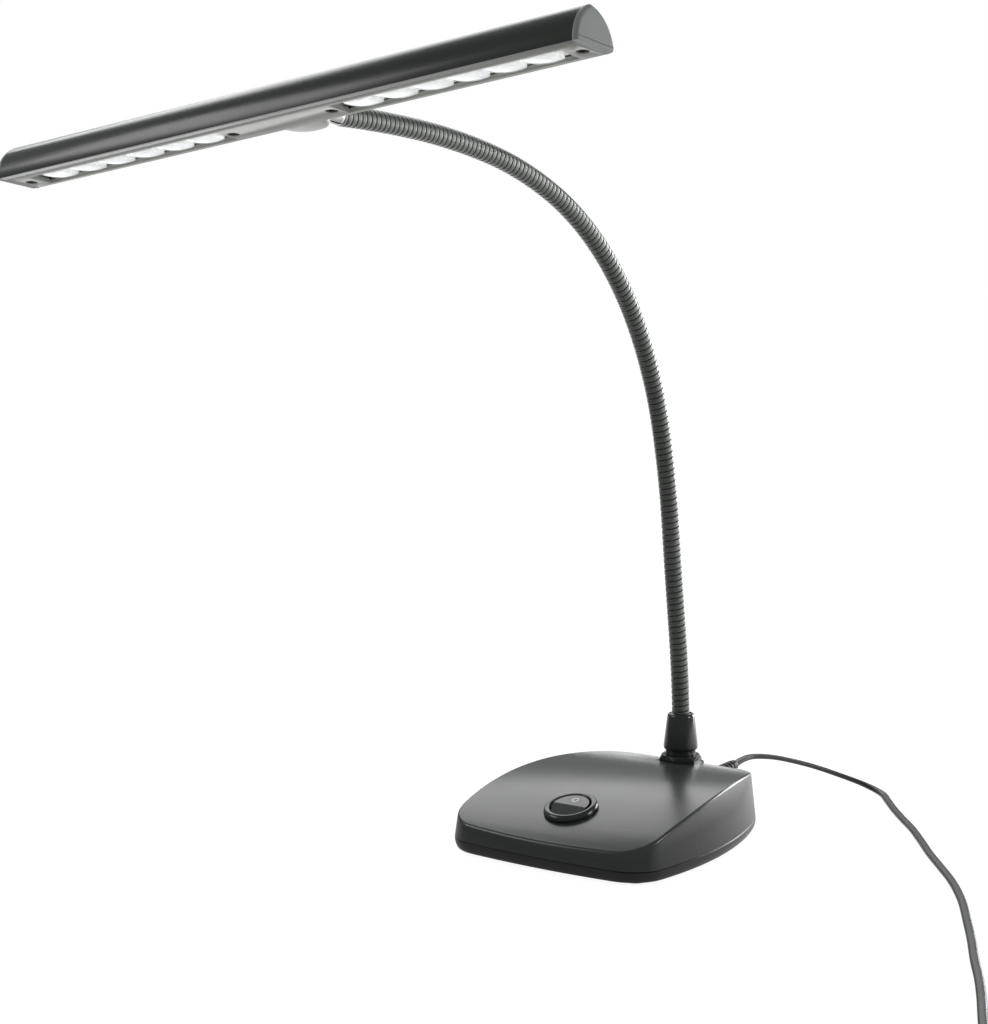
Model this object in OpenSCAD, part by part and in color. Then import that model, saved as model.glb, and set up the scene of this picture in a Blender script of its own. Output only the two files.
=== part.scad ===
// Piano lamp: a long LED bar on a flexible neck, over a weighted wedge base with
// a round rocker switch and a flat lead to a plug-in power supply.
// Millimetres. The origin is on the table under the middle of the base,
// +Z is up, the front of the base is towards -Y and the bar runs along X.

/* [Base] */
// Widest width of the base
base_w = 107; // [100:1:115]
// Depth of the base from front to back
base_d = 123; // [119:1:127]
// Distance in front of the middle where the base is widest
base_belly = 22; // [16:1:28]
// Radius that bows the two sides
side_r = 190; // [180:1:260]
// Radius that bows the front and back edges
end_r = 360; // [300:5:600]
// Radius of the corners seen from above
corner_r = 16; // [11:0.5:17]
// Lean of the cover's walls in degrees
draft = 5.8; // [5:0.1:8]
// Height of the highest line of the top
crest_h = 28.9; // [28:0.1:31]
// Distance of that line behind the middle
crest_y = 20; // [16:1:24]
// Radius of the curved top, front to back
top_r = 209; // [195:1:230]
// Wall of the cover and of the tray
shell_t = 2.4; // [2:0.1:2.8]
// Height of the joint line between tray and cover
split_h = 5.8; // [5.4:0.1:6.2]
// Gap between the tray and the table
tray_lift = 1; // [0.8:0.1:1.2]
// Thickness of the iron weight
weight_t = 8.4; // [7.6:0.1:8.6]
// Diameter of the rubber feet
foot_d = 12; // [10:0.5:14]

/* [Switch] */
// Distance of the switch in front of the middle
switch_front = 36; // [32:0.5:38]
// Outer diameter of the switch's rim
switch_rim_d = 23.6; // [22.6:0.1:25]
// Diameter of the switch's body in the panel hole
switch_body_d = 19.8; // [19.4:0.1:20.4]
// Diameter of the opening that the rocker fills
switch_open_d = 17.8; // [17.2:0.1:18.2]
// Height of the rim above the cover
switch_rim_h = 2.6; // [2.3:0.1:3]
// Angle that the rocker tips through
rocker_throw = 14; // [10:1:18]

/* [Neck] */
// Distance of the neck's collar behind the middle
neck_back = 50.1; // [47:0.1:51]
// Outer diameter of the neck over its ribs
neck_d = 8; // [7.8:0.1:8.8]
// Diameter of the neck between the ribs
neck_root_d = 7; // [6.9:0.1:7.1]
// Diameter of the bore for the wire
neck_bore_d = 3; // [2.9:0.1:3.1]
// Length of one link of the neck
link_len = 45; // [40:0.5:50]
// Ribs on one link
link_ribs = 16; // [12:1:18]
// Lean of the neck where it leaves the collar, in degrees
neck_lean = 2.2; // [0:0.1:4]
// Diameter of the wire in the neck
wire_d = 2.2; // [1.6:0.1:2.3]
// Height of the collar over its flange
collar_h = 19; // [16:0.5:22]
// Widest diameter of the collar
collar_d = 15.4; // [14.6:0.1:16.5]
// Width of the hexagon flange across its flats
flange_af = 16.6; // [16:0.1:18]
// Height of the hexagon flange
flange_h = 3.4; // [3:0.1:4]
// Diameter of the threaded tube that holds the neck
stud_d = 8; // [7.5:0.1:8.4]

/* [Lamp head] */
// Length of the head over its end caps
head_len = 270.5; // [268:0.5:290]
// Rise of the head's right end, in degrees
head_tilt = 8.65; // [0:0.05:12]
// Angle of the head's underside to the neck's end, in degrees
head_pitch = 6.8; // [4:0.1:9]
// Radius of each curved side of the head
head_r = 14.4; // [14:0.1:15]
// Half the distance between the centres of the two curved sides
head_arch = 3.75; // [3.5:0.05:4]
// Wall of the extruded body
head_wall = 1.3; // [1.1:0.1:1.5]
// Thickness of each end cap outside the body
cap_t = 2; // [1.8:0.1:3]
// Thickness of the cover under the lights
cover_t = 1.6; // [1.4:0.1:1.8]
// Width of each light window
window_w = 11; // [10:0.1:11.6]
// Length of each light window
window_len = 97.3; // [94:0.1:99]
// Distance from the middle of the head to the middle of a window
window_x = 75.15; // [74.5:0.05:75.5]
// Lights in each window
led_count = 6; // [4:1:6]
// Distance from one light to the next
led_pitch = 15.15; // [14.5:0.05:15.2]
// Diameter of each lens
lens_d = 14.4; // [12:0.1:14.6]
// Distance from the middle to the inner cover screws
screw_in = 23.2; // [22:0.1:23.4]
// Distance from the middle to the outer cover screws
screw_out = 128.7; // [128:0.1:129.5]

/* [Lead] */
// Width of the flat lead
lead_w = 3.6; // [3.2:0.1:3.8]
// Thickness of the flat lead
lead_t = 2.2; // [2:0.05:2.4]
// Distance from one turn of the coil to the next
turn_step = 4.15; // [4.1:0.05:4.6]
// Height from one layer of the coil to the next
layer_step = 2.75; // [2.7:0.05:3]
// Turns in each layer, without the half turn that climbs
layer_turns = 2; // [2:1:3]
// Inner radius of the coil at the middle of the lead
coil_in_r = 17; // [15:0.5:19]

/* [Hidden] */

$fn = 48;
arc_fn = 120;
black = [0.09, 0.09, 0.09];
charcoal = [0.16, 0.16, 0.165];
steel = [0.72, 0.73, 0.75];
brass = [0.78, 0.64, 0.32];
board_green = [0.1, 0.35, 0.2];

// Free gap between pieces that lie beside each other without touching
gap = 0.3;
// Overshoot of a cut past the face that it opens
over = 1;

// Height of the cover's outside on the middle line, at a distance y behind the middle
function top_z(y, drop = 0) =
    crest_h - top_r + sqrt(pow(top_r - drop, 2) - pow(y - crest_y, 2));

// ---------- Sweeps ----------

// Faces of a skin over rings of points. Ring 0 joins the last ring when it is a loop,
// and flat ends close it when it isn't.
function skin_faces(rings, sides, loop) = concat(
    [for (j = [0 : rings - (loop ? 1 : 2)], i = [0 : sides - 1], h = [0, 1])
        let (a = j * sides, b = (j + 1) % rings * sides, n = (i + 1) % sides)
        h == 0 ? [a + i, b + i, b + n] : [a + i, b + n, a + n]],
    loop ? [] : [for (i = [1 : sides - 2]) [0, i, i + 1]],
    loop ? [] : [for (i = [1 : sides - 2], a = (rings - 1) * sides) [a, a + i + 1, a + i]]
);

// One ring of points about p, square to the direction d, wide across and high
function ring(p, d, wide, high, sides, first, ref = [0, 0, 1]) =
    let (
        across = cross(ref, d) / norm(cross(ref, d)),
        up = cross(d, across) / norm(d)
    )
    [for (i = [0 : sides - 1]) let (a = first + 360 * i / sides)
        p + across * wide / 2 * cos(a) / (sides == 8 ? cos(22.5) : 1)
          + up * high / 2 * sin(a) / (sides == 8 ? cos(22.5) : sin(60))];

// A point on the smooth curve through four points, at t from the second to the third
function curve_at(a, b, c, d, t) =
    0.5 * (2 * b + (c - a) * t + (2 * a - 5 * b + 4 * c - d) * t * t
        + (3 * b - a - 3 * c + d) * t * t * t);

// Smooth curve through the points, with steps between each two
function smooth_path(pts, steps) =
    let (n = len(pts), first = 2 * pts[0] - pts[1], last = 2 * pts[n - 1] - pts[n - 2])
    [for (i = [0 : n - 2], k = [0 : steps - 1])
        curve_at(i == 0 ? first : pts[i - 1], pts[i], pts[i + 1],
            i == n - 2 ? last : pts[i + 2], k / steps), pts[n - 1]];

function path_dir(path, i) =
    let (n = len(path)) path[min(i + 1, n - 1)] - path[max(i - 1, 0)];

function path_len(path, i = 1) =
    i >= len(path) ? 0 : norm(path[i] - path[i - 1]) + path_len(path, i + 1);

// Tube along a path, with straight ends square to the given directions
module tube(path, wide, high, sides, first, start_dir, end_dir, ref = [0, 0, 1]) {
    n = len(path);
    points = [for (i = [0 : n - 1])
        each ring(path[i], i == 0 ? start_dir : i == n - 1 ? end_dir : path_dir(path, i),
            wide, high, sides, first, ref)];
    polyhedron(points, skin_faces(n, sides, false), convexity = 8);
}

// ---------- Base ----------

module base_plan(inset = 0) {
    half_w = base_w / 2;
    half_d = base_d / 2;
    offset(r = corner_r, $fn = 32) offset(delta = -corner_r - inset) intersection() {
        translate([half_w - side_r, -base_belly]) circle(side_r, $fn = arc_fn);
        translate([side_r - half_w, -base_belly]) circle(side_r, $fn = arc_fn);
        translate([0, half_d - end_r]) circle(end_r, $fn = arc_fn * 2);
        translate([0, end_r - half_d]) circle(end_r, $fn = arc_fn * 2);
    }
}

// Solid of the cover's leaning walls, drawn in by inset, from the height low up
module drafted_block(inset, low) {
    high = crest_h + 2;
    slice = 0.01;
    hull() {
        translate([0, 0, low]) linear_extrude(slice)
            base_plan(inset + (low - split_h) * tan(draft));
        translate([0, 0, high]) linear_extrude(slice)
            base_plan(inset + (high - split_h) * tan(draft));
    }
}

// The rolled top: a long drum whose axis runs along X
module top_drum(drop) {
    translate([-base_w, crest_y, crest_h - top_r]) rotate([0, 90, 0])
        cylinder(h = 2 * base_w, r = top_r - drop, $fn = 180);
}

module at_base_screws() {
    for (x = [-1, 1], p = [[27, -50], [34, 36]]) translate([x * p[0], p[1], 0]) children();
}
boss_d = 7;
pilot_d = 2.4;
screw_shank_d = 2.9;
screw_head_d = 5.6;
// Height of the screws' seats over the table
screw_seat = tray_lift + 1.2;

// Flat round seat for the neck's flange on the curved top
neck_seat_z = top_z(neck_back) + 0.1;
neck_seat_d = flange_af / cos(30) + 2;

relief_x = 12;
relief_z = 19.6;
relief_rise = 8;
relief_y = base_d / 2 - (relief_z - split_h) * tan(draft) - 0.15;
relief_hole_d = 6;

module at_switch() {
    slope = asin((crest_y + switch_front) / top_r);
    translate([0, -switch_front, top_z(-switch_front)]) rotate([slope, 0, 0]) children();
}

module at_relief() {
    translate([relief_x, relief_y, relief_z]) rotate([relief_rise - 90, 0, 0]) children();
}
// Point on the strain relief's axis, dist outside the wall
function relief_point(dist) = [relief_x, relief_y, relief_z] + dist * relief_dir;
relief_dir = [0, cos(relief_rise), sin(relief_rise)];

module base_cover() color(charcoal) difference() {
    union() {
        difference() {
            intersection() {
                drafted_block(0, split_h);
                top_drum(0);
            }
            intersection() {
                drafted_block(shell_t, split_h - over);
                top_drum(shell_t);
            }
        }
        translate([0, neck_back, neck_seat_z - pad_h]) cylinder(h = pad_h, d = neck_seat_d);
        intersection() {
            at_base_screws() translate([0, 0, boss_foot]) cylinder(h = crest_h, d = boss_d);
            top_drum(shell_t / 2);
        }
    }
    translate([0, neck_back, neck_seat_z]) cylinder(h = 6, d = neck_seat_d);
    translate([0, neck_back, 0]) cylinder(h = crest_h, d = stud_d + gap);
    at_switch() translate([0, 0, -12]) cylinder(h = 24, d = switch_body_d + gap);
    at_relief() translate([0, 0, -10]) cylinder(h = 20, d = relief_hole_d + 0.2);
    at_base_screws() translate([0, 0, boss_foot - over]) cylinder(h = 9, d = pilot_d);
}
boss_foot = tray_lift + shell_t;

module base_tray() color(charcoal) difference() {
    rim = split_h - tray_lift;
    translate([0, 0, tray_lift]) hull() {
        linear_extrude(0.01) base_plan(1.5);
        translate([0, 0, rim * 0.2]) linear_extrude(0.01) base_plan(0.7);
        translate([0, 0, rim * 0.5]) linear_extrude(0.01) base_plan(0.2);
        translate([0, 0, rim - 0.01]) linear_extrude(0.01) base_plan(0);
    }
    translate([0, 0, tray_lift + shell_t]) linear_extrude(rim) base_plan(shell_t);
    at_base_screws() {
        cylinder(h = 9, d = screw_shank_d + gap);
        cylinder(h = screw_seat, d = screw_head_d + 0.4);
    }
    at_ballast_screws() {
        cylinder(h = 9, d = 3.4);
        cylinder(h = screw_seat, d = 6.4);
    }
    at_feet() cylinder(h = tray_lift + foot_sink, d = foot_d + 0.1);
}
foot_sink = 0.8;

module at_feet() {
    for (x = [-1, 1], p = [[40, -47.5], [28, 48.5]]) translate([x * p[0], p[1], 0]) children();
    children();
}

module at_ballast_screws() {
    for (x = [-24, 24]) translate([x, 8, 0]) children();
}

module foot_pads() color(black) at_feet() {
    cylinder(h = 0.4, d1 = foot_d - 0.8, d2 = foot_d);
    translate([0, 0, 0.4]) cylinder(h = tray_lift + foot_sink - 0.4, d = foot_d);
}

// Cross-head screw pointing up, its head's underside at the origin
module pan_screw(d, len, head_d, head_h) {
    difference() {
        union() {
            cylinder(h = len, d = d);
            translate([0, 0, -head_h]) cylinder(h = head_h, d = head_d);
        }
        for (a = [0, 90]) rotate(a) translate([-head_d * 0.3, -0.4, -head_h - over])
            cube([head_d * 0.6, 0.8, over + head_h * 0.55]);
    }
}

module base_screws() color(steel) at_base_screws()
    translate([0, 0, screw_seat]) pan_screw(pilot_d - 0.1, 9, screw_head_d, 1.1);

module ballast_screws() color(steel) at_ballast_screws()
    translate([0, 0, screw_seat]) pan_screw(3, 7.4, 6, 1.1);

// Cast-iron slab on the tray's floor with a block on top
weight_z = tray_lift + shell_t;
weight_top = weight_z + weight_t;
block_h = 8;
block_x = -36;
block_w = 45;
block_y = -12;
block_d = 44;

module ballast() color([0.28, 0.27, 0.27]) difference() {
    union() {
        translate([0, 0, weight_z]) linear_extrude(weight_t) base_plan(shell_t + 3);
        translate([block_x, block_y, weight_top - 0.5]) cube([block_w, block_d, block_h + 0.5]);
    }
    at_base_screws() cylinder(h = 40, d = boss_d + 3);
    translate([-15, -switch_front - 15, 0]) cube([30, 28, 40]);
    translate([0, neck_back, 0]) cylinder(h = 40, d = 24);
    at_ballast_screws() cylinder(h = tray_lift + 10, d = 3.1);
    translate([relief_x - 5, 35, clamp_z]) cube([23, 40, 40]);
}

// ---------- Switch ----------
rocker_r = switch_open_d / 2 - gap;
rocker_pivot = switch_rim_h - 3;
rocker_ridge = 3;
rocker_pin_d = 1.8;
rocker_pin_len = 0.7;
housing_deep = 10.5;
cavity_deep = 5.1;

module switch_housing() color(black) at_switch() difference() {
    rotate_extrude() polygon([
        [0, -housing_deep], [switch_body_d / 2 - 0.6, -housing_deep],
        [switch_body_d / 2, -housing_deep + 0.6], [switch_body_d / 2, 0],
        [switch_rim_d / 2, 0], [switch_rim_d / 2, switch_rim_h * 0.45],
        [switch_rim_d / 2 - 0.35, switch_rim_h * 0.75],
        [switch_rim_d / 2 - 1.1, switch_rim_h * 0.95],
        [switch_rim_d / 2 - 1.8, switch_rim_h], [0, switch_rim_h]]);
    translate([0, 0, rocker_pivot - cavity_deep]) cylinder(h = 20, d = switch_open_d);
    translate([0, 0, rocker_pivot]) rotate([0, 90, 0])
        cylinder(h = 2 * (rocker_r + rocker_pin_len) + 0.2, d = rocker_pin_d + 0.12, center = true);
}

module switch_rocker() color(black) at_switch() translate([0, 0, rocker_pivot])
    rotate([rocker_throw / 2, 0, 0]) {
        difference() {
            intersection() {
                sphere(r = rocker_r, $fn = 64);
                rotate([90, 0, 90]) linear_extrude(2 * rocker_r, center = true) polygon([
                    [-rocker_r, -3], [rocker_r, -3],
                    [rocker_r, rocker_ridge - rocker_r * tan(rocker_throw / 2)],
                    [0, rocker_ridge],
                    [-rocker_r, rocker_ridge - rocker_r * tan(rocker_throw / 2)]]);
            }
            rocker_mark();
        }
        for (a = [-90, 90]) rotate([0, a, 0])
            cylinder(h = rocker_r + rocker_pin_len, d = rocker_pin_d);
    }

// Sunken ring on the back half
module rocker_mark() {
    translate([0, 0, rocker_ridge]) rotate([-rocker_throw / 2, 0, 0])
        translate([0, rocker_r * 0.52, -0.25]) difference() {
            cylinder(h = 2, d = 3.4);
            cylinder(h = 2, d = 2.4);
        }
}

module switch_terminals() color(brass) at_switch() {
    for (x = [-5, 5]) translate([x - 2.4, -0.4, -housing_deep - 5.5]) difference() {
        cube([4.8, 0.8, 5.5]);
        translate([2.4, -over, 1.8]) rotate([-90, 0, 0]) cylinder(h = 3, d = 1.5);
    }
}

// ---------- Driver board ----------
board_x = 15;
board_y = -16;
board_w = 25;
board_d = 46;
board_t = 1.6;
board_lift = 2;
board_z = weight_top + board_lift;
board_hole = 3;

module at_board_screws() {
    for (p = [[board_hole, board_hole], [board_w - board_hole, board_d - board_hole]])
        translate([board_x + p[0], board_y + p[1], 0]) children();
}

module driver_board() color(board_green) difference() {
    union() {
        translate([board_x, board_y, board_z]) cube([board_w, board_d, board_t]);
        at_board_screws() translate([0, 0, weight_top]) cylinder(h = board_lift, d = 5);
    }
    at_board_screws() cylinder(h = 40, d = 2.7);
}

module board_screws() color(steel) at_board_screws() {
    translate([0, 0, board_z + board_t]) cylinder(h = 1.6, d = 4.6);
    translate([0, 0, weight_top]) cylinder(h = board_t + board_lift, d = 2.4);
}

module driver_parts() color([0.2, 0.2, 0.22]) translate([board_x, board_y, board_z + board_t]) {
    translate([8, 12, 0]) cylinder(h = 6.5, d = 8);
    translate([18, 14, 0]) cylinder(h = 6, d = 6.3);
    translate([12, 21, 0]) cube([5, 4, 1.6]);
    translate([5, 29, 0]) cube([9, 9, 4.5]);
    translate([17, 24, 0]) cube([6, 10, 5]);
    translate([13, 2, 0]) cube([8, 5, 5]);
}

// ---------- Neck root ----------
flange_z = neck_seat_z;
ring_h = 3;
collar_z = flange_z + flange_h + ring_h;
collar_top = flange_z + flange_h + collar_h;
neck_start_z = collar_top - 5;
neck_fit = 0.5;

module neck_flange() color(black) translate([0, neck_back, flange_z]) difference() {
    intersection() {
        rotate(12) cylinder(h = flange_h, d = flange_af / cos(30), $fn = 6);
        cylinder(h = flange_h, d1 = flange_af + 4.6, d2 = flange_af + 0.4);
    }
    translate([0, 0, -over]) cylinder(h = flange_h + 2 * over, d = stud_d + 0.1);
}

module neck_collar() color(black) translate([0, neck_back, 0]) difference() {
    rotate_extrude() polygon([
        [0, flange_z + flange_h], [collar_d / 2 - 0.9, flange_z + flange_h],
        [collar_d / 2 - 0.9, collar_z - 0.8], [collar_d / 2 - 0.1, collar_z],
        [collar_d / 2, collar_z + 1.2], [collar_d / 2 - 1.5, collar_top - 1.2],
        [collar_d / 2 - 2.2, collar_top - 0.3], [collar_d / 2 - 2.9, collar_top],
        [0, collar_top]]);
    translate([0, 0, flange_z]) cylinder(h = 60, d = stud_d + 0.1);
    translate([0, 0, neck_start_z - 1]) cylinder(h = 60, d = neck_d + 2 * neck_fit);
}

module neck_stud() color(steel) translate([0, neck_back, 0]) difference() {
    translate([0, 0, stud_low]) cylinder(h = neck_start_z + 1 - stud_low, d = stud_d);
    cylinder(h = 60, d = neck_bore_d + 1);
    translate([0, 0, neck_start_z]) rotate([neck_lean, 0, 0]) translate([-10, -10, 0]) cube(20);
}
stud_low = neck_seat_z - 14;
pad_h = 4;
nut_af = 12;
nut_h = 4;
washer_t = 1.2;

module neck_washer() color(steel)
    translate([0, neck_back, neck_seat_z - pad_h - washer_t]) difference() {
        cylinder(h = washer_t, d = nut_af + 1.4);
        translate([0, 0, -over]) cylinder(h = washer_t + 2 * over, d = stud_d + 0.3);
    }

module neck_locknut() color(steel)
    translate([0, neck_back, neck_seat_z - pad_h - washer_t - nut_h]) difference() {
        cylinder(h = nut_h, d = nut_af / cos(30), $fn = 6);
        translate([0, 0, -over]) cylinder(h = nut_h + 2 * over, d = stud_d + 0.1);
    }

// ---------- Neck ----------
// Turn of each link, foot to head, in degrees
link_turn = [6.3, -1.4, 7.7, 15.4, 16.8, 17.5, 12.1, 6.7, 4];
links = len(link_turn);
ball_r = 2.7;
cup_r = 3.1;
half_gap = 0.65;
neck_sides = 8;
// Makes a ring of eight sides hold as much as the circle it stands for
round_out = 1.054;

// Moves [y, z, lean] on by a distance along an arc that turns by a number of degrees
function move_on(p, dist, turn) =
    abs(turn) < 0.001
    ? [p[0] - dist * sin(p[2]), p[1] + dist * cos(p[2]), p[2]]
    : let (r = dist / turn * 180 / PI)
        [p[0] + r * (cos(p[2] + turn) - cos(p[2])),
         p[1] + r * (sin(p[2] + turn) - sin(p[2])), p[2] + turn];
function link_foot(k) =
    k == 0 ? [neck_back, neck_start_z, neck_lean]
    : move_on(link_foot(k - 1), link_len, link_turn[k - 1]);
function on_link(k, dist) = move_on(link_foot(k), dist, link_turn[k] * dist / link_len);

// Ring of points round the neck's centre line, dist along link k
function neck_ring(k, dist, r, sides) =
    let (p = on_link(k, dist), up = [0, cos(p[2]), sin(p[2])])
    [for (i = [0 : sides - 1]) let (a = 360 * (i + 0.5) / sides)
        [0, p[0], p[1]] + r * round_out * (cos(a) * [1, 0, 0] + sin(a) * up)];

// Outline of a link as [distance, radius]: ball, ribs, cup, then back along the bore
function link_outline(k) =
    let (
        bore = neck_bore_d / 2,
        low = k == 0 ? 0 : half_gap,
        high = k == links - 1 ? link_len : link_len - half_gap,
        step = (high - low) / link_ribs,
        ball = k == 0 ? [[0, bore]]
            : [for (d = [-sqrt(ball_r * ball_r - bore * bore), -1.2, half_gap])
                [d, sqrt(ball_r * ball_r - d * d)]],
        cup = k == links - 1 ? [[link_len, bore]]
            : [for (d = [-half_gap, -1.6, -sqrt(cup_r * cup_r - bore * bore)])
                [link_len + d, sqrt(cup_r * cup_r - d * d)]]
    )
    concat(
        ball,
        [for (i = [0 : link_ribs - 1], h = [0, 1])
            [low + step * (i + 0.5 * h), h == 0 ? neck_root_d / 2 : neck_d / 2]],
        [[high, neck_root_d / 2]],
        cup,
        [for (d = [2 / 3, 1 / 3]) [link_len * d, bore]]
    );

module neck_link(k) color(black) {
    outline = link_outline(k);
    polyhedron(
        [for (o = outline) each neck_ring(k, o[0], o[1], neck_sides)],
        skin_faces(len(outline), neck_sides, true), convexity = 10);
}

// Wire in a link, from inside its ball to just short of the next one
module neck_wire(k) color([0.75, 0.1, 0.1]) {
    low = k == 0 ? -4 : -2.3;
    high = k == links - 1 ? link_len + 12 : link_len - 2.9;
    steps = 5;
    points = [for (i = [0 : steps])
        each neck_ring(k, low + (high - low) * i / steps, wire_d / 2, 6)];
    polyhedron(points, skin_faces(steps + 1, 6, false));
}

// ---------- Lamp head ----------
neck_end = link_foot(links);
head_reach = 33.7;
head_drop = 5.5;
head_centre = -1.6;
cap_x = head_len / 2;
body_x = cap_x - cap_t;
cover_x = body_x - 1;
cover_low = -9;
cover_high = 7.6;

// The neck's end: +Z along the neck, +Y up
module at_neck_end() {
    translate([0, neck_end[0], neck_end[1]]) rotate([neck_end[2], 0, 0])
        rotate(head_tilt) children();
}

// The middle of the head's underside: X along the head, +Z up into it
module at_head() {
    at_neck_end() translate([0, -head_drop, head_reach])
        rotate([-90 - head_pitch, 0, 0]) children();
}

// The lower back edge is cut blunt, as far from this middle as its rounding would reach
heel_r = 3;
heel = [head_centre - head_arch + head_r - 1.15 * heel_r, heel_r];
heel_slant = 37;
arch_z = -0.15;
// How much the front side's centre is above the back side's, halved
arch_skew = 0.6;

// Outline of the head's section with y as X and z as Y, drawn in by inset
module head_section(inset, low) {
    difference() {
        intersection() {
            translate([head_centre - head_arch, arch_z - arch_skew])
                circle(head_r - inset, $fn = arc_fn);
            translate([head_centre + head_arch, arch_z + arch_skew])
                circle(head_r - inset, $fn = arc_fn);
            translate([-30, low]) square([60, 40]);
        }
        translate(heel) rotate(-heel_slant) translate([heel_r - inset, -20]) square([20, 40]);
    }
}

// Solid along the head between two places
module along_head(x0, x1) {
    translate([x0, 0, 0]) rotate([90, 0, 90]) linear_extrude(x1 - x0) children();
}

shelf_z = 5.4;
shelf_t = 1;
shelf_front = -6.6;
shelf_back = 4.6;
// Outline of the space inside the body: the shelves hold the boards and the cover
module body_space() {
    difference() {
        head_section(head_wall, -over);
        for (z = [cover_t, shelf_z]) {
            front = z == shelf_z ? shelf_front : cover_low + 0.9;
            back = z == shelf_z ? shelf_back : cover_high - 0.9;
            translate([front - 20, z]) square([20, shelf_t]);
            translate([back, z]) square([20, shelf_t]);
        }
        translate([cover_low - 20, 0]) square([20, cover_t + 0.1]);
        translate([cover_high, 0]) square([20, cover_t + 0.1]);
    }
    translate([cover_low, -over]) square([cover_high - cover_low, cover_t + over]);
}

module head_body() color(black) at_head() difference() {
    along_head(-body_x, body_x) difference() {
        head_section(0, 0);
        body_space();
    }
    translate([-bracket_w / 2 - 0.1, cover_high - 0.4, bracket_low])
        cube([bracket_w + 0.2, 20, notch_h - bracket_low]);
    at_bracket_screws() rotate([-90, 0, 0]) cylinder(h = 20, d = 2.6);
    from_head_to_neck() translate([0, 0, head_reach - 12]) cylinder(h = 16, d = 4.4);
}
notch_h = 4;
block_half = 26;

module end_cap(side) color(charcoal) at_head() mirror([side < 0 ? 1 : 0, 0, 0]) difference() {
    tab_x = window_x + window_len / 2 + 1.2;
    union() {
        along_head(body_x, cap_x) head_section(0, 0);
        translate([tab_x, -8, cover_t]) cube([body_x - tab_x + 1, 13.5, shelf_z - cover_t]);
        translate([cover_x + 0.1, cover_low + 0.1, 0])
            cube([cap_t, cover_high - cover_low - 0.2, cover_t]);
    }
    translate([screw_out, 0, -over]) cylinder(h = 6, d = 2);
}

module end_cap_left() end_cap(-1);
module end_cap_right() end_cap(1);

module at_cover_screws() {
    for (x = [-screw_out, -screw_in, screw_in, screw_out]) translate([x, 0, 0]) children();
}

module light_cover() color([0.3, 0.3, 0.3]) at_head() difference() {
    translate([-cover_x, cover_low + 0.1, 0])
        cube([2 * cover_x, cover_high - cover_low - 0.2, cover_t]);
    for (s = [-1, 1]) translate([s * window_x, 0, 0])
        cube([window_len, window_w, 4 * cover_t], center = true);
    at_cover_screws() {
        translate([0, 0, -over]) cylinder(h = 6, d = 2.8);
        translate([0, 0, -over]) cylinder(h = over + 0.9, d = 4.6);
    }
}

module cover_screws() color([0.2, 0.2, 0.2]) at_head() at_cover_screws()
    translate([0, 0, 0.9]) pan_screw(1.9, 4, 4.2, 0.6);

chip_h = 0.9;
led_x = [for (i = [0 : led_count - 1]) (i - (led_count - 1) / 2) * led_pitch];
strip_len = window_len - 4;
strip_front = -6.9;
strip_back = 5.8;
led_board_t = 1.2;
led_board_z = shelf_z - led_board_t;

module led_board(side) color([0.85, 0.86, 0.84]) at_head() translate([side * window_x, 0, 0])
    translate([-strip_len / 2, strip_front, led_board_z])
        cube([strip_len, strip_back - strip_front, led_board_t]);
module led_board_left() led_board(-1);
module led_board_right() led_board(1);

module led_chips() color([0.95, 0.9, 0.6]) at_head()
    for (s = [-1, 1], x = led_x) translate([s * window_x + x, 0, led_board_z - chip_h / 2])
        cube([5, 5, chip_h], center = true);

// Clear strip: a domed lens under each light, on a thin plate with side rails
lens_low = 0.4;
module lens_strip(side) color([0.9, 0.93, 0.95, 0.6]) at_head() translate([side * window_x, 0, 0]) {
    dome_r = 16;
    rail = 0.7;
    for (y = [strip_front, strip_back - rail]) translate([-strip_len / 2, y, cover_t])
        cube([strip_len, rail, led_board_z - cover_t]);
    translate([-strip_len / 2, strip_front, cover_t]) cube([strip_len, strip_back - strip_front, 1]);
    for (x = led_x) intersection() {
        translate([x, 0, lens_low + dome_r]) sphere(r = dome_r, $fn = 64);
        translate([x, 0, 0]) cylinder(h = cover_t + 1, d = lens_d);
        translate([x - lens_d, -window_w / 2 + gap, 0])
            cube([2 * lens_d, window_w - 2 * gap, 10]);
    }
}
module lens_strip_left() lens_strip(-1);
module lens_strip_right() lens_strip(1);

// Block inside the body's middle that the neck's bracket and the cover are screwed to
module center_block() color(steel) at_head() difference() {
    translate([-block_half, -8, cover_t]) cube([2 * block_half, 13.7, shelf_z - cover_t]);
    for (x = [-screw_in, screw_in]) translate([x, 0, -over]) cylinder(h = 6, d = 2);
    at_bracket_screws() rotate([-90, 0, 0]) translate([0, 0, -4]) cylinder(h = 20, d = 2);
    translate([-2.5, -2, shelf_z - 1.8]) cube([5, 12, 6]);
}

bracket_w = 19;
bracket_back = 20.4;
bracket_low = 1.4;
bracket_top = 11.6;
bracket_corner = 8.5;
bracket_head_y = 14;
module at_bracket_screws() {
    for (x = [-5.4, 5.4]) translate([x, 0, 3.9]) children();
}

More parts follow.
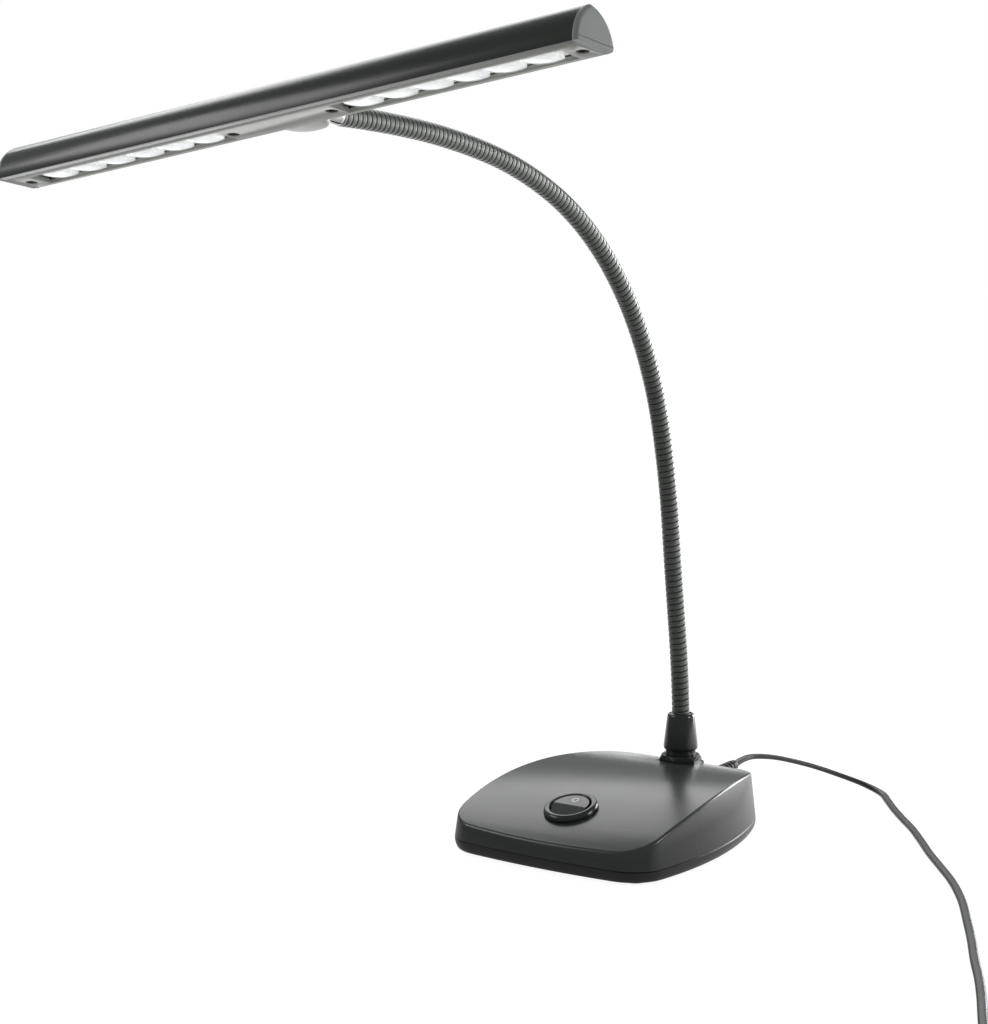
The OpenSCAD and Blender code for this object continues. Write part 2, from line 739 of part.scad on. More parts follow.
// Cast bracket behind the body: it takes the ferrule's stem in its bore
module neck_bracket() color(charcoal) at_head() difference() {
    translate([0, 0, bracket_low]) linear_extrude(bracket_top - bracket_low) {
        translate([-bracket_w / 2, 0]) square([bracket_w, bracket_back - bracket_corner]);
        translate([-bracket_w / 2 + bracket_corner, 0])
            square([bracket_w - 2 * bracket_corner, bracket_back]);
        for (s = [-1, 1])
            translate([s * (bracket_w / 2 - bracket_corner), bracket_back - bracket_corner])
                circle(bracket_corner);
    }
    translate([-30, -over, -over]) cube([60, cover_high + over, bracket_top + 2 * over]);
    along_head(-30, 30) intersection() {
        head_section(0, -over);
        translate([-30, notch_h - 0.1]) square([60, 30]);
    }
    at_bracket_screws() rotate([-90, 0, 0]) {
        cylinder(h = 40, d = 2.4);
        translate([0, 0, bracket_head_y]) cylinder(h = 40, d = 4.2);
    }
    from_head_to_neck() cylinder(h = head_reach, d = stem_d + 0.1);
    for (x = [-5.5, 5.5]) translate([x, cover_high + 2.9, bracket_low - over])
        cylinder(h = over + 0.4, d = 1.6);
}
stem_d = 4.8;

// Undoes at_head, so that its children lie in the neck's end frame
module from_head_to_neck() {
    rotate([90 + head_pitch, 0, 0]) translate([0, head_drop, -head_reach]) children();
}

module bracket_screws() color(steel) at_head() at_bracket_screws()
    translate([0, bracket_head_y, 0]) rotate([90, 0, 0]) {
        cylinder(h = 14, d = 1.9);
        translate([0, 0, -1.8]) difference() {
            cylinder(h = 1.8, d = 3.8);
            translate([0, 0, -over]) cylinder(h = over + 1, d = 2, $fn = 6);
        }
    }

// Bright cone that closes the neck's end, with its stem in the bracket
ferrule_base = 3;
ferrule_len = 12;
module neck_ferrule() color(steel) at_neck_end() difference() {
    rotate_extrude() polygon([
        [0, 0], [neck_d / 2 - 0.1, 0], [neck_d / 2 - 0.1, ferrule_base + 0.8],
        [2.9, ferrule_len - 1.6], [2.4, ferrule_len - 1.5], [2.4, ferrule_len - 1.1],
        [3.1, ferrule_len - 1], [3.1, ferrule_len - 0.1], [stem_d / 2, ferrule_len],
        [stem_d / 2, ferrule_len + 9], [0, ferrule_len + 9]]);
    translate([0, 0, -over]) cylinder(h = 40, d = neck_bore_d);
}

head_lead_path = [[0, 19, 7.8], [0, 14, 7.2], [0, 8, 6.5], [0.6, 3, 6.2], [4, 0.5, 7.2],
    [12, 0, 7.6], [22, 0, 7.3], [32, 0, 6.4]];
module head_leads() color([0.75, 0.1, 0.1]) at_head() for (s = [0, 1]) mirror([s, 0, 0])
    intersection() {
        tube(smooth_path(head_lead_path, 2), 1.6, 1.6, 6, 0, [0, -1, 0], [1, 0, 0]);
        translate([0, -40, 0]) cube([80, 80, 40]);
    }

// ---------- Lead and power supply ----------
relief_in = 4;
relief_out = 17.5;
module strain_relief() color(black) at_relief() difference() {
    union() {
        translate([0, 0, -relief_in]) cylinder(h = relief_in + 1, d = relief_hole_d);
        translate([0, 0, -relief_in]) cylinder(h = 1.4, d = relief_hole_d + 2);
        translate([0, 0, 0.5]) cylinder(h = 1.7, d = relief_hole_d + 2.2);
        for (i = [0 : 4]) translate([0, 0, 3.4 + i * 2.6])
            cylinder(h = 1.5, d = relief_hole_d + 1.2 - i * 0.45);
        cylinder(h = relief_out, d1 = relief_hole_d, d2 = lead_w + 0.9);
    }
    translate([-lead_w / 2 - 0.1, -lead_t / 2 - 0.1, -relief_in - over])
        cube([lead_w + 0.2, lead_t + 0.2, relief_out + relief_in + 2 * over]);
}

clamp_z = weight_z + 3;
lead_in_z = clamp_z + 4.2;
// Clamp that takes a pull on the lead
module lead_clamp() color(black) translate([relief_x - 5, 41, clamp_z]) difference() {
    cube([18, 4, 7]);
    translate([5 - lead_w / 2 - 0.1, -over, lead_in_z - clamp_z - lead_t / 2 - 0.1])
        cube([lead_w + 0.2, 6, lead_t + 0.2]);
    translate([14, 2, -over]) cylinder(h = 12, d = 2.6);
}

// Middles of the leads inside the base
supply_path = [
    relief_point(-relief_in - 1), [12, 52, 16.6], [12, 49.5, 13], [12, 46.8, 10.9],
    [12, 44, lead_in_z], [12, 41, lead_in_z], [12.6, 37.5, 11.8], [15, 33, 14.4],
    [18.6, 30, 16.9], [22, 26.5, 16.95]];
riser_path = [
    [0, 50.25, 39.8], [0, 50.1, 30], [0, 50.1, 20], [0, 49.9, 13.5], [-0.4, 47.6, 10.6],
    [1, 43.4, 10.6], [4, 39.4, 14.2], [8, 34.5, 15.2], [13, 28, 16.7], [17, 24.8, 16.9]];
switch_paths = [
    [[5, -31, 7.5], [6.2, -28, 8.8], [11, -24.6, 13], [17, -20, 15.6], [20.5, -17, 17.3],
        [22.6, -13.4, 16.6]],
    [[-5, -31, 7.5], [-3.6, -28, 9], [2, -24.4, 12], [9, -21, 15.6], [13.4, -15.5, 17.8],
        [15.8, -11.4, 18], [18.2, -8.2, 16.8]]];

module supply_lead() color(black)
    tube(smooth_path(supply_path, 2), lead_w, lead_t, 8, 22.5, -relief_dir, [0.5, -0.5, 0]);
module riser_lead() color([0.75, 0.1, 0.1])
    tube(smooth_path(riser_path, 2), 2, 2, 6, 0, [0, 0, -1], [0.8, -0.5, 0], [1, 0, 0]);
module switch_leads() color([0.75, 0.1, 0.1]) for (p = switch_paths)
    tube(smooth_path(p, 2), 1.5, 1.5, 6, 0, p[1] - p[0], [0.6, 0.8, 0]);

rest_z = lead_t / 2;
// Middle of the coil, and the direction of its first point from there
coil_at = [276, -150];
coil_first = 216.9;
coil_layers = 4;
loop_rings = 24;
coil_out_r = coil_in_r + layer_turns * turn_step;
layer_rings = layer_turns * loop_rings;
climb_rings = loop_rings / 2;
coil_rings = coil_layers * layer_rings + (coil_layers - 1) * climb_rings;

// Radius and layer of the coil at ring i: a layer winds in or out, then half a turn
// swings wide of it and climbs
function coil_place(i) =
    let (
        part = layer_rings + climb_rings,
        layer = floor(i / part),
        k = i - layer * part,
        inward = layer % 2 == 0,
        edge = inward ? coil_in_r : coil_out_r,
        t = (k - layer_rings) / climb_rings
    )
    k <= layer_rings
    ? [inward ? coil_out_r - turn_step * k / loop_rings : coil_in_r + turn_step * k / loop_rings, layer]
    : [edge + (inward ? -1 : 1) * turn_step * 0.25 * sin(180 * t), layer + t * t * (3 - 2 * t)];
function coil_point(i) =
    let (c = coil_place(i), a = coil_first + 360 * i / loop_rings)
    [coil_at[0] + c[0] * cos(a), coil_at[1] + c[0] * sin(a), rest_z + c[1] * layer_step];
function coil_dir(i) = let (a = coil_first + 360 * i / loop_rings) [-sin(a), cos(a), 0];
coil_path = [for (i = [0 : coil_rings]) coil_point(i)];
coil_end = coil_point(coil_rings);
coil_end_dir = coil_dir(coil_rings);

// Middle of the lead from the strain relief to the coil
cord_points = [
    relief_point(-relief_in - 1), relief_point(6), relief_point(relief_out), relief_point(25),
    [12.5, 93, 23], [15.6, 103.5, 21.4], [19.4, 114.5, 18.4], [25.6, 127, 14], [34, 138, 8.8],
    [43, 145.4, 4.2], [52.5, 144.4, 1.5], [60.5, 135, rest_z], [70, 122.6, rest_z],
    [82, 108, rest_z], [94, 94, rest_z], [107, 77, rest_z], [120, 59.5, rest_z],
    [134, 42, rest_z], [148, 24, rest_z], [163, 1.5, rest_z], [178.5, -25.5, rest_z],
    [190, -46, rest_z], [201, -66.5, rest_z], [212, -86, rest_z], [222, -105, rest_z],
    [233.5, -128, rest_z], [244, -148, rest_z], coil_point(0)];

// Least distance between the surfaces of neighbouring turns, on their points
function least_gap(rings) = min([
    for (i = [0 : len(rings) - 1], m = [1 : 10], s = [-1 : 1])
        let (j = i + m * loop_rings + s)
        if (j < len(rings)) for (a = rings[i], b = rings[j]) norm(a - b)]);

module cord_run() color(black) {
    echo(cord_run_length = path_len(smooth_path(cord_points, 3)));
    tube(smooth_path(cord_points, 3), lead_w, lead_t, 8, 22.5,
        relief_dir, coil_dir(0));
}

module cord_coil() color(black) {
    rings = [for (i = [0 : coil_rings]) ring(coil_path[i], coil_dir(i), lead_w, lead_t, 6, 0)];
    echo(coil_turns = coil_rings / loop_rings, coil_length = path_len(coil_path));
    echo(coil_least_gap = least_gap(rings));
    polyhedron([for (r = rings) each r], skin_faces(coil_rings + 1, 6, false), convexity = 20);
}

tail_len = 18;
tail_end = coil_end + tail_len * coil_end_dir;
module cord_tail() color(black)
    tube([for (i = [0 : 3]) coil_end + i / 3 * tail_len * coil_end_dir], lead_w, lead_t, 8, 22.5,
        coil_end_dir, coil_end_dir);

// Plug-in power supply lying on its back, its lead entry at the origin along +X
supply_len = 58;
supply_w = 34;
supply_h = 26;
supply_r = 5;
entry_len = 9;
module at_supply() {
    translate(tail_end) rotate(atan2(coil_end_dir[1], coil_end_dir[0])) children();
}

module plug_adapter() color(black) at_supply() {
    rotate([0, 90, 0]) cylinder(h = entry_len + 1, d1 = lead_w + 1.4, d2 = 7.4);
    translate([entry_len, 0, -tail_end[2]]) hull()
        for (x = [supply_r, supply_len - supply_r], y = [-1, 1])
            translate([x, y * (supply_w / 2 - supply_r), 0]) {
                cylinder(h = 1.5, r1 = supply_r - 1.5, r2 = supply_r, $fn = 32);
                translate([0, 0, supply_h - 1.5])
                    cylinder(h = 1.5, r1 = supply_r, r2 = supply_r - 1.5, $fn = 32);
            }
}

pin_d = 4;
pin_spacing = 18.6;
pin_len = 19;
module plug_pins() color(steel) at_supply()
    for (y = [-1, 1]) translate([entry_len + supply_len - 17, y * pin_spacing / 2, supply_h - tail_end[2]]) {
        cylinder(h = pin_len - 1.5, d = pin_d);
        translate([0, 0, pin_len - 1.5]) cylinder(h = 1.5, d1 = pin_d, d2 = pin_d - 1.6);
    }

base_cover();
base_tray();
ballast();
foot_pads();
base_screws();
ballast_screws();
switch_housing();
switch_rocker();
switch_terminals();
driver_board();
driver_parts();
board_screws();
neck_flange();
neck_collar();
neck_stud();
neck_washer();
neck_locknut();
strain_relief();
lead_clamp();
supply_lead();
switch_leads();
riser_lead();
neck_link(0);  // neck_link_1
neck_link(1);  // neck_link_2
neck_link(2);  // neck_link_3
neck_link(3);  // neck_link_4
neck_link(4);  // neck_link_5
neck_link(5);  // neck_link_6
neck_link(6);  // neck_link_7
neck_link(7);  // neck_link_8
neck_link(8);  // neck_link_9
neck_wire(0);  // neck_wire_1
neck_wire(1);  // neck_wire_2
neck_wire(2);  // neck_wire_3
neck_wire(3);  // neck_wire_4
neck_wire(4);  // neck_wire_5
neck_wire(5);  // neck_wire_6
neck_wire(6);  // neck_wire_7
neck_wire(7);  // neck_wire_8
neck_wire(8);  // neck_wire_9
head_body();
end_cap_left();
end_cap_right();
light_cover();
led_board_left();
led_board_right();
led_chips();
lens_strip_left();
lens_strip_right();
cover_screws();
center_block();
neck_bracket();
bracket_screws();
neck_ferrule();
head_leads();
cord_run();
cord_coil();
cord_tail();
plug_adapter();
plug_pins();
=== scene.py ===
# A piano lamp: an LED bar on a ribbed gooseneck, over a wedge base with a round rocker.
import bmesh
import bpy
import functools
import math
from mathutils import Matrix, Vector


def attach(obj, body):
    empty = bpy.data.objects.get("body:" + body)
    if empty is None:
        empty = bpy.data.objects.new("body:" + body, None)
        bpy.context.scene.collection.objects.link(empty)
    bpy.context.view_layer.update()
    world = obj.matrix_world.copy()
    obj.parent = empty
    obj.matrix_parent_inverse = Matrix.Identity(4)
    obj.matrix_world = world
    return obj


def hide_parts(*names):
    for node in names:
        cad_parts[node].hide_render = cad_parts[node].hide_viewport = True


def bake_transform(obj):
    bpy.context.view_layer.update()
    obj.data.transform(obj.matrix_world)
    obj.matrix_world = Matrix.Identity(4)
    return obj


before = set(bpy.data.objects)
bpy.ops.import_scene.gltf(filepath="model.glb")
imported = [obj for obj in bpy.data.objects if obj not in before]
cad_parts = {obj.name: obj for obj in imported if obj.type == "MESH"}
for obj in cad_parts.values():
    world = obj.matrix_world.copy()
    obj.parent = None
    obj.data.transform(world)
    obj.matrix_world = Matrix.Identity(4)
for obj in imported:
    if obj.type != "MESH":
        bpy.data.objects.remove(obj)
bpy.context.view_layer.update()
MM = 0.001

# ---------- Camera ----------
# The photograph was taken from the lamp's front right, a little above the table,
# with a long lens. The camera is turned 36.8 degrees to its left and dips 6.7.
LOOK_TURN = math.radians(36.81)
LOOK_DIP = math.radians(6.74)
LOOK_ROLL = math.radians(-0.10)
CAMERA_AT = Vector((0.5691, -0.8513, 0.2656))
FOCAL_LEN, SENSOR_W = 84.30, 36
NEAREST, FARTHEST = 0.05, 20


def add_object(name, data):
    """Puts an object that shows some data into the scene."""
    thing = bpy.data.objects.new(name, data)
    bpy.context.collection.objects.link(thing)
    return thing


level_ahead = Vector((-math.sin(LOOK_TURN), math.cos(LOOK_TURN), 0))
level_right = Vector((math.cos(LOOK_TURN), math.sin(LOOK_TURN), 0))
straight_up = Vector((0, 0, 1))
look_ahead = level_ahead * math.cos(LOOK_DIP) - straight_up * math.sin(LOOK_DIP)
look_up = level_ahead * math.sin(LOOK_DIP) + straight_up * math.cos(LOOK_DIP)
frame_right = level_right * math.cos(LOOK_ROLL) - look_up * math.sin(LOOK_ROLL)
frame_up = level_right * math.sin(LOOK_ROLL) + look_up * math.cos(LOOK_ROLL)
photo_lens = bpy.data.cameras.new("photo_camera")
photo_lens.lens = FOCAL_LEN
photo_lens.sensor_width = SENSOR_W
photo_lens.clip_start = NEAREST
photo_lens.clip_end = FARTHEST
photo_camera = add_object("photo_camera", photo_lens)
camera_axes = Matrix((frame_right, frame_up, -look_ahead)).transposed()
photo_camera.matrix_world = Matrix.Translation(CAMERA_AT) @ camera_axes.to_4x4()
bpy.context.scene.camera = photo_camera

# ---------- Lead ----------
# A flat two-core lead of black PVC, 3.6 by 2.2 mm, with a shallow furrow between
# its cores. It leaves the base through the strain relief, falls to the table and
# runs off to a wound coil beside the plug-in power supply.
LEAD_W, LEAD_T = 3.6, 2.2
FURROW = 0.43  # half the lead's thickness in the furrow, as a share of LEAD_T
REST_Z = LEAD_T / 2
BASE_D, SPLIT_H = 123, 5.8
TAN_DRAFT = math.tan(math.radians(5.8))
RELIEF_X, RELIEF_Z, RELIEF_SUNK = 12, 19.6, 0.15
RELIEF_RISE = math.radians(8)
BACK_WALL_Y = BASE_D / 2 - (RELIEF_Z - SPLIT_H) * TAN_DRAFT
RELIEF_AT = Vector((RELIEF_X, BACK_WALL_Y - RELIEF_SUNK, RELIEF_Z))
RELIEF_DIR = Vector((0, math.cos(RELIEF_RISE), math.sin(RELIEF_RISE)))
MIX_TONES, MIX_RESULT = (6, 7), 2  # the colour sockets of a Mix node


def set_in(node, **values):
    """Sets a node's sockets. An underscore stands for the space in a socket's name."""
    for socket, value in values.items():
        node.inputs[socket.replace("_", " ")].default_value = value


def skinned(finish, pattern, tones, gloss, height, strength, depth):
    """Gives a finish its skin: a pattern blends two tones and two roughnesses, and a
    height pattern raises it by up to a depth in millimetres."""
    nodes = finish.node_tree.nodes
    wire = finish.node_tree.links.new
    skin = nodes["Principled BSDF"]
    tint = nodes.new("ShaderNodeMix")
    tint.data_type = "RGBA"
    for socket, tone in zip(MIX_TONES, tones):
        tint.inputs[socket].default_value = (*tone, 1)
    wire(pattern, tint.inputs[0])
    wire(tint.outputs[MIX_RESULT], skin.inputs["Base Color"])
    wire(pattern, gloss.inputs["Value"])
    wire(gloss.outputs["Result"], skin.inputs["Roughness"])
    relief = nodes.new("ShaderNodeBump")
    set_in(relief, Strength=strength, Distance=depth * MM)
    wire(height, relief.inputs["Height"])
    wire(relief.outputs["Normal"], skin.inputs["Normal"])
    return finish


def moulded(name, shade, rough, grain=0.35, depth=0.006, cloud=0.12, sheen=0.05):
    """Moulded plastic or rubber: a fine grain, and a faint change of shade and gloss."""
    finish = bpy.data.materials.new(name)
    finish.use_nodes = True
    nodes = finish.node_tree.nodes
    wire = finish.node_tree.links.new
    place = nodes.new("ShaderNodeTexCoord")
    clouds = nodes.new("ShaderNodeTexNoise")
    set_in(clouds, Scale=38, Detail=5)
    wire(place.outputs["Object"], clouds.inputs["Vector"])
    pits = nodes.new("ShaderNodeTexNoise")
    set_in(pits, Scale=1000 / grain, Detail=3)
    wire(place.outputs["Object"], pits.inputs["Vector"])
    gloss = nodes.new("ShaderNodeMapRange")
    set_in(gloss, From_Min=0.3, From_Max=0.7, To_Min=rough - sheen, To_Max=rough + sheen)
    tones = [[c * (1 + swing) for c in shade] for swing in (-cloud, cloud)]
    return skinned(finish, clouds.outputs["Fac"], tones, gloss, pits.outputs["Fac"],
                   strength=0.35, depth=depth)


def make_piece(name, shape, finish, body, nodes=(), sharp=32):
    """Turns a shape drawn in millimetres into a piece that moves with a CAD body. A
    piece without a body stays where it is drawn."""
    bmesh.ops.scale(shape, vec=(MM, MM, MM), verts=shape.verts)
    mesh = bpy.data.meshes.new(name)
    shape.to_mesh(mesh)
    shape.free()
    mesh.materials.append(finish)
    mesh.shade_smooth()
    mesh.set_sharp_from_angle(angle=math.radians(sharp))
    made = add_object(name, mesh)
    if body:
        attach(made, body)
    if nodes:
        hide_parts(*nodes)
    return made


def worked_out(thing):
    """The shape that an object's curve or modifiers give."""
    bpy.context.view_layer.update()
    done = thing.evaluated_get(bpy.context.evaluated_depsgraph_get())
    mesh = bpy.data.meshes.new_from_object(done)
    shape = bmesh.new()
    shape.from_mesh(mesh)
    bpy.data.meshes.remove(mesh)
    return shape


def relief_point(dist):
    """A point on the lead's way out, at a distance from the back wall."""
    return RELIEF_AT + RELIEF_DIR * dist


def curved(a, b, c, d, t):
    """A point between b and c on the smooth curve through four points."""
    return 0.5 * (2 * b + (c - a) * t + (2 * a - 5 * b + 4 * c - d) * t * t
                  + (3 * b - a - 3 * c + d) * t ** 3)


COIL_AT = (276, -150)
COIL_FIRST = 216.9
COIL_IN, COIL_STEP, LAYER_STEP = 17, 4.15, 2.75
COIL_LAYERS, LAYER_TURNS, CLIMB_TURNS = 4, 2, 0.5
CLIMB_SWING = COIL_STEP * 0.25
COIL_TURNS = COIL_LAYERS * LAYER_TURNS + (COIL_LAYERS - 1) * CLIMB_TURNS


def coil_point(turns):
    """The lead's middle in the coil: a layer winds in or out, then half a turn climbs."""
    layer = min(int(turns / (LAYER_TURNS + CLIMB_TURNS)), COIL_LAYERS - 1)
    part = turns - layer * (LAYER_TURNS + CLIMB_TURNS)
    inward = layer % 2 == 0
    out = COIL_IN + LAYER_TURNS * COIL_STEP
    if part <= LAYER_TURNS:
        radius = out - COIL_STEP * part if inward else COIL_IN + COIL_STEP * part
    else:
        t = (part - LAYER_TURNS) / CLIMB_TURNS
        swing = CLIMB_SWING * math.sin(math.pi * t)
        radius = COIL_IN - swing if inward else out + swing
        layer += t * t * (3 - 2 * t)
    a = math.radians(COIL_FIRST + 360 * turns)
    return Vector((COIL_AT[0] + radius * math.cos(a), COIL_AT[1] + radius * math.sin(a),
                   REST_Z + layer * LAYER_STEP))


run_marks = [relief_point(dist) for dist in (-5, 6, 17.5, 25)]
run_marks += [Vector(p) for p in (
    (12.5, 93, 23), (15.6, 103.5, 21.4), (19.4, 114.5, 18.4), (25.6, 127, 14),
    (34, 138, 8.8), (43, 145.4, 4.2), (52.5, 144.4, 1.5))]
run_marks += [Vector((x, y, REST_Z)) for x, y in (
    (60.5, 135), (70, 122.6), (82, 108), (94, 94), (107, 77), (120, 59.5), (134, 42),
    (148, 24), (163, 1.5), (178.5, -25.5), (190, -46), (201, -66.5), (212, -86),
    (222, -105), (233.5, -128), (244, -148))]
run_marks.append(coil_point(0))
RUN_STEPS, TURN_STEPS = 6, 48
guides = [2 * run_marks[0] - run_marks[1], *run_marks, 2 * run_marks[-1] - run_marks[-2]]
lead_line = [curved(*four, k / RUN_STEPS)
             for four in zip(guides, guides[1:], guides[2:], guides[3:])
             for k in range(RUN_STEPS)]
lead_line += [coil_point(i / TURN_STEPS) for i in range(int(COIL_TURNS * TURN_STEPS) + 1)]
TAIL_LEN, TAIL_STEPS = 18, 4
end_turn = math.radians(COIL_FIRST + 360 * COIL_TURNS)
tail_dir = Vector((-math.sin(end_turn), math.cos(end_turn), 0))
coil_last = lead_line[-1]
lead_line += [coil_last + tail_dir * TAIL_LEN * (k + 1) / TAIL_STEPS
              for k in range(TAIL_STEPS)]
tail_end = lead_line[-1]


def drawn(name, marks, **settings):
    """A curve through marks in millimetres."""
    curve = bpy.data.curves.new(name, "CURVE")
    for setting, value in settings.items():
        setattr(curve, setting, value)
    line = curve.splines.new("POLY")
    line.points.add(len(marks) - 1)
    for point, mark in zip(line.points, marks):
        point.co = (*(Vector(mark) * MM), 1)
    return add_object(name, curve)


core_r, core_off = LEAD_T / 2, (LEAD_W - LEAD_T) / 2
ARC_POINTS, ARC_STEP = 7, 25
section_marks = []
for side, first in ((1, -75), (-1, 105)):
    for a in (math.radians(first + ARC_STEP * k) for k in range(ARC_POINTS)):
        section_marks.append((side * core_off + core_r * math.cos(a),
                              core_r * math.sin(a), 0))
    section_marks.append((0, side * LEAD_T * FURROW, 0))
lead_section = drawn("lead_section", section_marks)
lead_section.data.splines[0].use_cyclic_u = True
lead_curve = drawn("lead_curve", lead_line, dimensions="3D", twist_mode="Z_UP",
                   bevel_mode="OBJECT", bevel_object=lead_section, use_fill_caps=True)
lead_shape = worked_out(lead_curve)
bpy.data.objects.remove(lead_curve)
bpy.data.objects.remove(lead_section)
bmesh.ops.remove_doubles(lead_shape, verts=lead_shape.verts, dist=1e-6)
bmesh.ops.recalc_face_normals(lead_shape, faces=lead_shape.faces)
bmesh.ops.scale(lead_shape, vec=(1 / MM, 1 / MM, 1 / MM), verts=lead_shape.verts)
black_pvc = moulded("black_pvc", (0.014, 0.014, 0.015), 0.34, grain=0.9, depth=0.02)
supply_cord = make_piece(
    "supply_cord", lead_shape, black_pvc, "base",
    ("cord_run", "cord_coil", "cord_tail"), sharp=50)
bpy.context.view_layer.update()

# ---------- Power supply ----------
# A plug-in power supply of black ABS in two halves with a seam round them. It lies
# on its back with its two round pins up, and its lead comes out of a short boot.
SUPPLY_LEN, SUPPLY_W, SUPPLY_H, SUPPLY_R, ENTRY_LEN = 58, 34, 26, 5, 9
SUPPLY_EDGE_R = 1.5
SEAM_LOW, SEAM_HIGH, SEAM_DEEP = 17.2, 17.7, 0.4
GRIPS, GRIP_FIRST, GRIP_PITCH, GRIP_Z, GRIP_SIZE = 5, 16, 3.2, 9, (1.2, 0.8, 9)
at_supply = (Matrix.Translation(tail_end)
             @ Matrix.Rotation(math.atan2(tail_dir.y, tail_dir.x), 4, "Z"))
supply_foot = -tail_end.z


def block(low, high, at=Matrix()):
    """A square block between two corners."""
    shape = bmesh.new()
    bmesh.ops.create_cube(shape, size=1)
    bmesh.ops.scale(shape, vec=Vector(high) - Vector(low), verts=shape.verts)
    bmesh.ops.translate(shape, vec=(Vector(low) + Vector(high)) / 2, verts=shape.verts)
    bmesh.ops.transform(shape, matrix=at, verts=shape.verts)
    return shape


def climbs(edge):
    """Whether an edge of a block is upright."""
    return abs(edge.verts[0].co.z - edge.verts[1].co.z) > 0.01


def round_off(shape, edges, radius, segments):
    """Rounds some edges of a shape."""
    bmesh.ops.bevel(shape, geom=edges, offset=radius, segments=segments, affect="EDGES",
                    profile=0.5, material=-1)


def rod(radius, low, high, at=Matrix(), sides=48, tip=None):
    """A round bar along Z; tip is its radius at the high end."""
    shape = bmesh.new()
    bmesh.ops.create_cone(
        shape, cap_ends=True, segments=sides, radius1=radius,
        radius2=radius if tip is None else tip, depth=high - low,
        matrix=at @ Matrix.Translation((0, 0, (low + high) / 2)))
    return shape


def turned(marks, at=Matrix(), sides=64):
    """A shape turned on a lathe from marks of (radius, height)."""
    shape = bmesh.new()
    line = [shape.verts.new((r, 0, z)) for r, z in marks]
    edges = [shape.edges.new(pair) for pair in zip(line, line[1:])]
    bmesh.ops.spin(shape, geom=line + edges, cent=(0, 0, 0), axis=(0, 0, 1),
                   angle=2 * math.pi, steps=sides, use_merge=True)
    bmesh.ops.remove_doubles(shape, verts=shape.verts, dist=1e-4)
    bmesh.ops.recalc_face_normals(shape, faces=shape.faces)
    bmesh.ops.transform(shape, matrix=at, verts=shape.verts)
    return shape


def as_object(shape, name):
    """A work object that holds a shape."""
    mesh = bpy.data.meshes.new(name)
    shape.to_mesh(mesh)
    shape.free()
    return add_object(name, mesh)


def machined(shape, *steps):
    """Works a shape: each step is ("cut" | "join" | "keep", tool) or (modifier, values)."""
    work = as_object(shape, "work")
    tools = []
    joining = {"cut": "DIFFERENCE", "join": "UNION", "keep": "INTERSECT"}
    for how, what in steps:
        if how in joining:
            tools.append(as_object(what, "tool"))
            step = work.modifiers.new(how, "BOOLEAN")
            step.operation = joining[how]
            step.solver = "EXACT"
            step.object = tools[-1]
        else:
            step = work.modifiers.new(how, how)
            for key, value in what.items():
                setattr(step, key, value)
    result = worked_out(work)
    for thing in [work, *tools]:
        old = thing.data
        bpy.data.objects.remove(thing)
        bpy.data.meshes.remove(old)
    return result


def eased(width, segments, angle):
    """The step that rounds every edge sharper than an angle."""
    return ("BEVEL", dict(width=width, segments=segments, limit_method="ANGLE",
                          angle_limit=math.radians(angle), harden_normals=False))


def supply_slab(grow, low, high):
    """A block on the power supply's plan, grown all round, between two heights."""
    return block(
        (ENTRY_LEN - grow, -SUPPLY_W / 2 - grow, supply_foot + low),
        (ENTRY_LEN + SUPPLY_LEN + grow, SUPPLY_W / 2 + grow, supply_foot + high))


supply_shape = supply_slab(0, 0, SUPPLY_H)
round_off(supply_shape, [e for e in supply_shape.edges if climbs(e)], SUPPLY_R, 8)
round_off(supply_shape, [e for e in supply_shape.edges if not climbs(e)],
          SUPPLY_EDGE_R, 4)
seam_core = supply_slab(-SEAM_DEEP, SEAM_LOW - 0.2, SEAM_HIGH + 0.3)
round_off(seam_core, [e for e in seam_core.edges if climbs(e)], SUPPLY_R - SEAM_DEEP, 8)
seam_ring = machined(supply_slab(2, SEAM_LOW, SEAM_HIGH), ("cut", seam_core))
grips = bmesh.new()
for side in (-1, 1):
    for k in range(GRIPS):
        grip_at = Matrix.Translation((ENTRY_LEN + GRIP_FIRST + k * GRIP_PITCH,
                                      side * SUPPLY_W / 2, supply_foot + GRIP_Z))
        bmesh.ops.create_cube(grips, size=1,
                              matrix=grip_at @ Matrix.Diagonal((*GRIP_SIZE, 1)))
lie_x = Matrix.Rotation(math.pi / 2, 4, "Y")
boot = turned([(0, 0), (2.3, 0), (2.5, 0.3), (2.75, 2.2), (2.45, 2.6), (2.45, 3.2),
               (2.95, 3.6), (3.1, 5), (2.75, 5.4), (2.75, 6), (3.35, 6.4), (3.6, 8.2),
               (3.7, ENTRY_LEN + 1), (0, ENTRY_LEN + 1)], lie_x)
supply_shape = machined(supply_shape, ("cut", seam_ring), ("cut", grips), ("join", boot))
bmesh.ops.transform(supply_shape, matrix=at_supply, verts=supply_shape.verts)
black_abs = moulded("black_abs", (0.018, 0.018, 0.019), 0.42, grain=0.5, depth=0.02)
supply_case = make_piece("power_supply", supply_shape, black_abs, "base",
                         ("plug_adapter",))


def dress(finish, slot, *names):
    """Gives CAD nodes a finish."""
    for name in names:
        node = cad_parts[name]
        if not node.material_slots:
            node.data.materials.append(finish)
        for place in node.material_slots:
            place.material = finish


